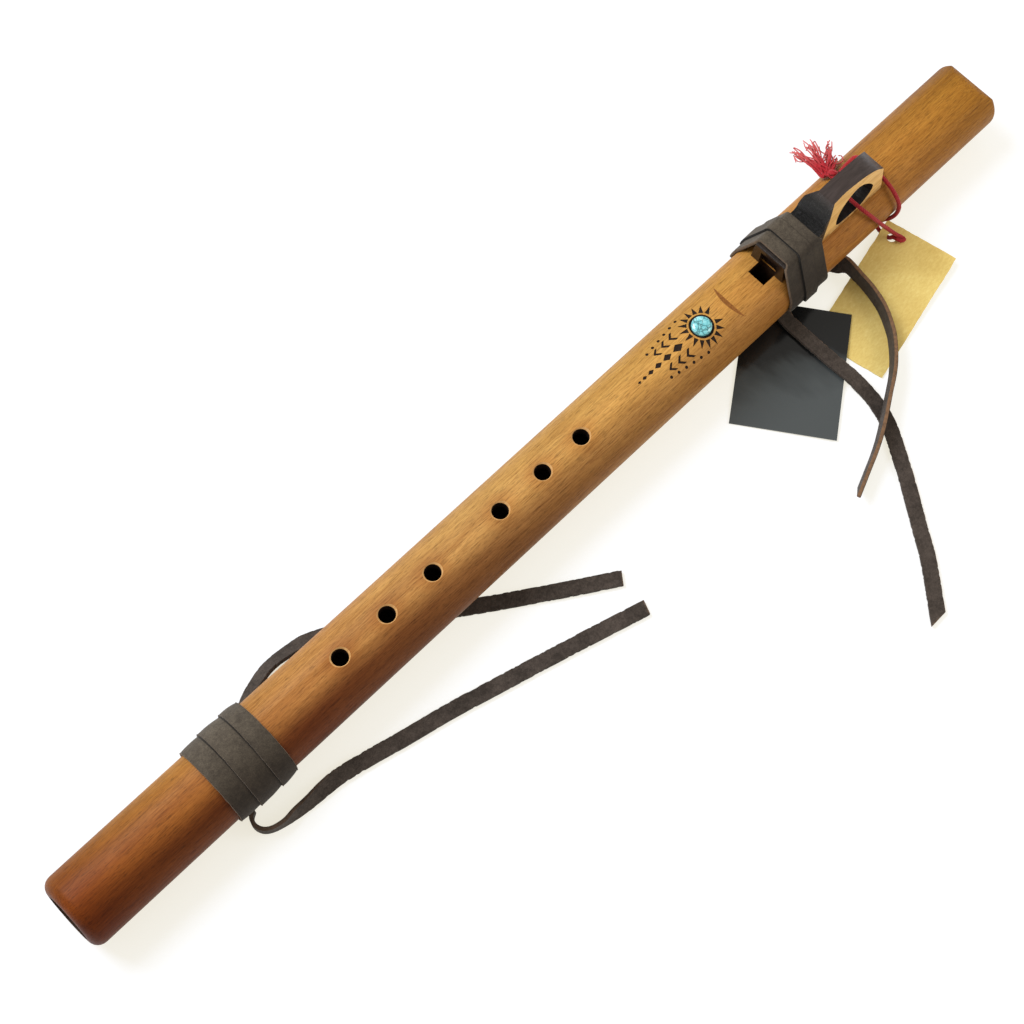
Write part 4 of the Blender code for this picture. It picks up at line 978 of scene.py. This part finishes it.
def band(work, values, section, edges, lifts, pale, seed, seam=0.86, bulge=0.0):
    """One turn of lace round a section, between two edges given as functions of the angle.

    The two values of pale tell how light each cut edge is; an edge with none gets painted crease
    shade. Past the seam, a share of the width, the turn gets painted shade under the next one.
    """
    first_edge, second_edge = edges
    profile = turn_profile(seam)
    rings = []
    for step, angle in enumerate(angles(ROUND_TUBE, 0.5)):
        outward = Vector((math.cos(angle), math.sin(angle)))
        touch = max(section, key=lambda p: p[0] * outward.x + p[1] * outward.y + p[2])
        start = first_edge(angle) + LACE_CORNER
        end = second_edge(angle) - LACE_CORNER
        loose = 1 - max(0.0, -math.sin(angle)) ** 4
        ring = []
        for at, past, share, is_cut in profile:
            x = start + (end - start) * at + past
            upper = share > 0.4
            lift = (lifts[0] + (lifts[1] - lifts[0]) * at) * loose
            offset = touch[2] + FIT_GAP + 0.02 * MM + lift + LACE_THICKNESS * share
            if upper:
                offset += waver(x * 300, step * 0.10, seed) * 0.10 * MM * share
            if is_cut:
                x += waver(seed, step * 0.33, 5.0) * 0.10 * MM
                light = pale[round(at)]
                # A cut edge with no pale value gets painted crease shade.
                values.append((light, 0.0 if light else 1.0))
            else:
                if upper:
                    offset += bulge * (4 * at * (1 - at) - 0.6) * loose
                # Painted shade on the part that lies under the next turn.
                hidden = bulge and upper and seam < at < 1 and not pale[1]
                values.append((0.0, 1.0 if hidden else 0.0))
            floor = 0.02 * MM + (1 - share) * 0.2 * MM
            z = max(touch[1] + offset * outward.y, floor)
            ring.append(Vector((x, touch[0] + offset * outward.x, z)))
        rings.append(ring)
    skin(work, rings, joined=True)


def wrap_piece(name, work, values, node, material):
    cut_edge, crease = zip(*values)
    make_piece(
        name, work, [material], "dark_leather", node, 60, cut_edge=cut_edge, crease=crease,
    )


def foot_edge(x, lean=0.0):
    """An edge of a turn round the foot, which leans to and fro as it goes round."""
    return lambda angle: x + lean * math.sin(angle) * math.cos(angle)


def make_foot_wrap(material):
    work = bmesh.new()
    values = []
    start = FOOT_WRAP_LOW.x
    for number, width in enumerate(FOOT_TURNS):
        is_first, is_last = number == 0, number == len(FOOT_TURNS) - 1
        end = start + width + (0.0 if is_last else FOOT_TUCK)
        edges = foot_edge(start, 0.0 if is_first else FOOT_LEAN), foot_edge(end)
        lifts = (0.0 if is_first else LACE_RISE * 0.8, 0.0)
        pale = (0.8 if is_first else 0.45, 0.9 if is_last else 0.0)
        seam = 0.86 if is_last else width / (end - start)
        band(work, values, tube_section(), edges, lifts, pale, 3.0 + number, seam, FOOT_BULGE)
        start += width
    wrap_piece("foot_lace_turns", work, values, "foot_lace_wrap", material)


def lace_edge(stations, shift=0.0):
    """An edge given by where it lies on top, on the near side, on the far side and underneath."""
    top, near, far, under = (BLOCK_LOW.x + (station + shift) * MM for station in stations)

    def place(angle):
        side = far if math.cos(angle) > 0 else near
        up = math.sin(angle)
        if up >= 0:
            return side + (top - side) * up
        return side + (under - side) * min(1.0, -1.25 * up)

    return place


def make_block_wrap(material):
    work = bmesh.new()
    values = []
    saddle = BLOCK_LOW.z + SADDLE_HEIGHT - SHOULDER_ROUNDING
    half = SADDLE_TOP_HALF - SHOULDER_ROUNDING
    section = tube_section()
    section += [(half * (1 - i / 6), saddle, SHOULDER_ROUNDING) for i in range(13)]
    fronts = lace_edge(BLOCK_LACE_FRONT), lace_edge(BLOCK_LACE_SEAM_1, BLOCK_LACE_TUCK)
    rears = lace_edge(BLOCK_LACE_SEAM_2, -BLOCK_LACE_TUCK), lace_edge(BLOCK_LACE_REAR)
    middles = lace_edge(BLOCK_LACE_SEAM_1), lace_edge(BLOCK_LACE_SEAM_2)
    band(work, values, section, fronts, (0.0, 0.0), (0.7, 0.0), 1.0)
    band(work, values, section, rears, (0.0, 0.0), (0.0, 0.3), 2.0)
    band(work, values, section, middles, (LACE_RISE, LACE_RISE), (0.0, 0.0), 4.0)
    wrap_piece("block_lace_turns", work, values, "block_lace_wrap", material)


def wander(along, seed):
    """A vector that strays smoothly as the first value grows."""
    return Vector((
        waver(along * 1.7, 0.3, seed + 1.1), waver(0.2, along * 1.9, seed + 2.2),
        waver(4.1, seed + 0.7, along * 1.3),
    ))


def thread_route(number, tip, curl):
    """A frayed thread's points, from inside the knot to its tip. Every fourth one curls back."""
    spread = wander(number, 0.0)
    root = KNOT_CENTRE + wander(number, 5.0) * 1.5 * MM
    share = 0.5 + 0.9 * waver(number * 2.9, 8.0, 1.0)
    heel = KNOT_CENTRE.lerp(TASSEL_BASE, min(1.0, max(0.0, share))) + spread * 1.6 * MM
    reach = 0.80 + 0.5 * abs(waver(number * 2.3, 5.0, 5.0))
    end = heel + (tip + spread * 3.6 * MM - heel) * min(reach, 1.02)
    route = [root, heel]
    for step in range(1, 5):
        part = step / 5
        sway = wander(number * 1.3, 10.0 + step) * curl * 3.2 * MM * part
        arch = Vector((0, 0, 1.2 * MM * math.sin(math.pi * part)))
        route.append(heel.lerp(end, part) + sway + arch)
    route.append(end)
    if number % 4 == 0:
        route.append(end + (heel - end) * 0.22 + wander(number, 3.0) * 5 * MM)
    return route


def make_tassel():
    """The knot behind the ring and the frayed, curling ends that spring from it."""
    work = bmesh.new()
    along = []
    threads = [(tip, curl) for tip, count, curl in BUNCHES for _ in range(count)]
    for number, (tip, curl) in enumerate(threads, 1):
        places = smooth_path(thread_route(number, tip, curl), STRAND_STEPS)
        rings = []
        for index, (place, head) in enumerate(zip(places, directions(places))):
            part = index / (STRAND_STEPS - 1)
            side = head.orthogonal().normalized()
            radius = (0.42 - 0.16 * part) * MM
            rings.append(circle(place, side, head.cross(side), radius, STRAND_SIDES))
            along += [part] * STRAND_SIDES
        skin(work, rings)
    for number, tilt in enumerate((-0.5, 0.35, 1.1)):
        axis = Vector((math.cos(tilt), 0.25, math.sin(tilt))).normalized()
        side = axis.orthogonal().normalized()
        up = axis.cross(side)
        rings = []
        for angle in angles(KNOT_LOOP_STEPS):
            out = side * math.cos(angle) + up * math.sin(angle)
            centre = KNOT_CENTRE + out * 1.3 * MM + axis * (number - 1) * 0.7 * MM
            rings.append(circle(centre, out, axis, 0.8 * MM, 10))
            along += [0.0] * 10
        skin(work, rings, joined=True)
    return make_piece(
        "cord_tassel_threads", work, [frayed_thread()], "red_thread", "cord_tassel", 60, along=along,
    )


def tag_outline(half_long, half_wide, ragged):
    """Points round a card's edge, which is torn inwards by up to about this much."""
    outline = []
    signs = ((-1, -1), (1, -1), (1, 1), (-1, 1))
    corners = [(x * half_long, y * half_wide) for x, y in signs]
    for (x0, y0), (x1, y1) in zip(corners, corners[1:] + corners[:1]):
        for i in range(TAG_SIDE_STEPS):
            part = i / TAG_SIDE_STEPS
            x, y = x0 + (x1 - x0) * part, y0 + (y1 - y0) * part
            wear = waver(x * 260, y * 260, half_long * 900) * 0.5
            wear += waver(x * 900, y * 900, 3.0) * 0.3
            inset = abs(ragged * (0.35 + wear))
            outline.append((
                x * (half_long - inset) / half_long, y * (half_wide - inset) / half_wide, 0,
            ))
    return outline


def make_tag(name, node, tag, material, slot):
    """A thin card with a punched hole, cut or torn at its edges, that leans on what it lies on."""
    half_long, half_wide = (value / 2 * MM for value in tag["size"])
    hole = Vector((*tag["hole"], 0)) * MM
    rim = circle(hole, Vector((1, 0, 0)), Vector((0, -1, 0)), TAG_HOLE_RADIUS * MM, 40)
    work = bmesh.new()
    edges = []
    for points in (tag_outline(half_long, half_wide, tag["ragged"] * MM), rim):
        verts = [work.verts.new(point) for point in points]
        edges += [work.edges.new(pair) for pair in zip(verts, verts[1:] + verts[:1])]
    bmesh.ops.triangle_fill(work, edges=edges, use_beauty=True)
    made = bmesh.ops.extrude_face_region(work, geom=work.faces[:])
    top = [v for v in made["geom"] if isinstance(v, bmesh.types.BMVert)]
    bmesh.ops.translate(work, verts=top, vec=(0, 0, TAG_THICKNESS * MM))
    lifts = tag["lifts"]
    middle = 0.2 + (abs(lifts[0]) + abs(lifts[1]) + TAG_THICKNESS) / 2
    placing = (
        Matrix.Translation(Vector((*tag["centre"], middle)) * MM)
        @ Matrix.Rotation(math.radians(tag["turn"]), 4, "Z")
        @ Matrix.Rotation(-math.asin(lifts[0] / tag["size"][0]), 4, "Y")
        @ Matrix.Rotation(math.asin(lifts[1] / tag["size"][1]), 4, "X")
        @ Matrix.Translation((0, 0, -TAG_THICKNESS / 2 * MM))
    )
    bmesh.ops.transform(work, matrix=placing, verts=work.verts)
    make_piece(name, work, [material], slot, node, 40)


def main():
    bpy.context.scene.view_settings.view_transform = "Standard"
    for name in ("Cube", "Light", "Camera"):
        if name in bpy.data.objects:
            bpy.data.objects.remove(bpy.data.objects[name])
    make_camera()
    cord, cord_path = make_cord(red_thread())
    strap = leather("tail_leather", (0.032, 0.024, 0.019), (0.075, 0.058, 0.048), (0.21, 0.115, 0.060))
    wide = REAR_TAIL_WIDTH
    for name, node, route, width, slant, pale, seed in (
        ("rear_lace_end", "block_lace_rear_tail", REAR_TAIL, wide, 0.9, (1.0, 0.2), 11.0),
        ("front_lace_end", "block_lace_front_tail", FRONT_TAIL, TAIL_WIDTH, -0.85, (1.0, 0.0), 23.0),
        ("foot_far_lace_end", "foot_lace_far_tail", FAR_TAIL, TAIL_WIDTH, 0.1, (0.1, 0.0), 37.0),
        ("foot_near_lace_end", "foot_lace_near_tail", NEAR_TAIL, TAIL_WIDTH, 0.1, (0.3, 0.0), 41.0),
    ):
        make_tail(name, node, route, width, slant, pale, seed, strap)
    tassel = make_tassel()
    make_tag("gold_card_tag", "gold_tag", GOLD_TAG, gold_card(), "gold_card")
    make_tag("black_card_tag", "black_tag", DARK_TAG, black_card(), "black_card")
    make_body()
    make_block()
    make_stone()
    strap = leather(
        "wrap_leather", (0.055, 0.043, 0.031), (0.098, 0.079, 0.057), (0.17, 0.115, 0.075),
        # Painted shade towards the near side of the wraps.
        (0.38, 0.34, 0.32),
    )
    make_foot_wrap(strap)
    make_block_wrap(strap)
    make_floor()
    make_lights()


main()
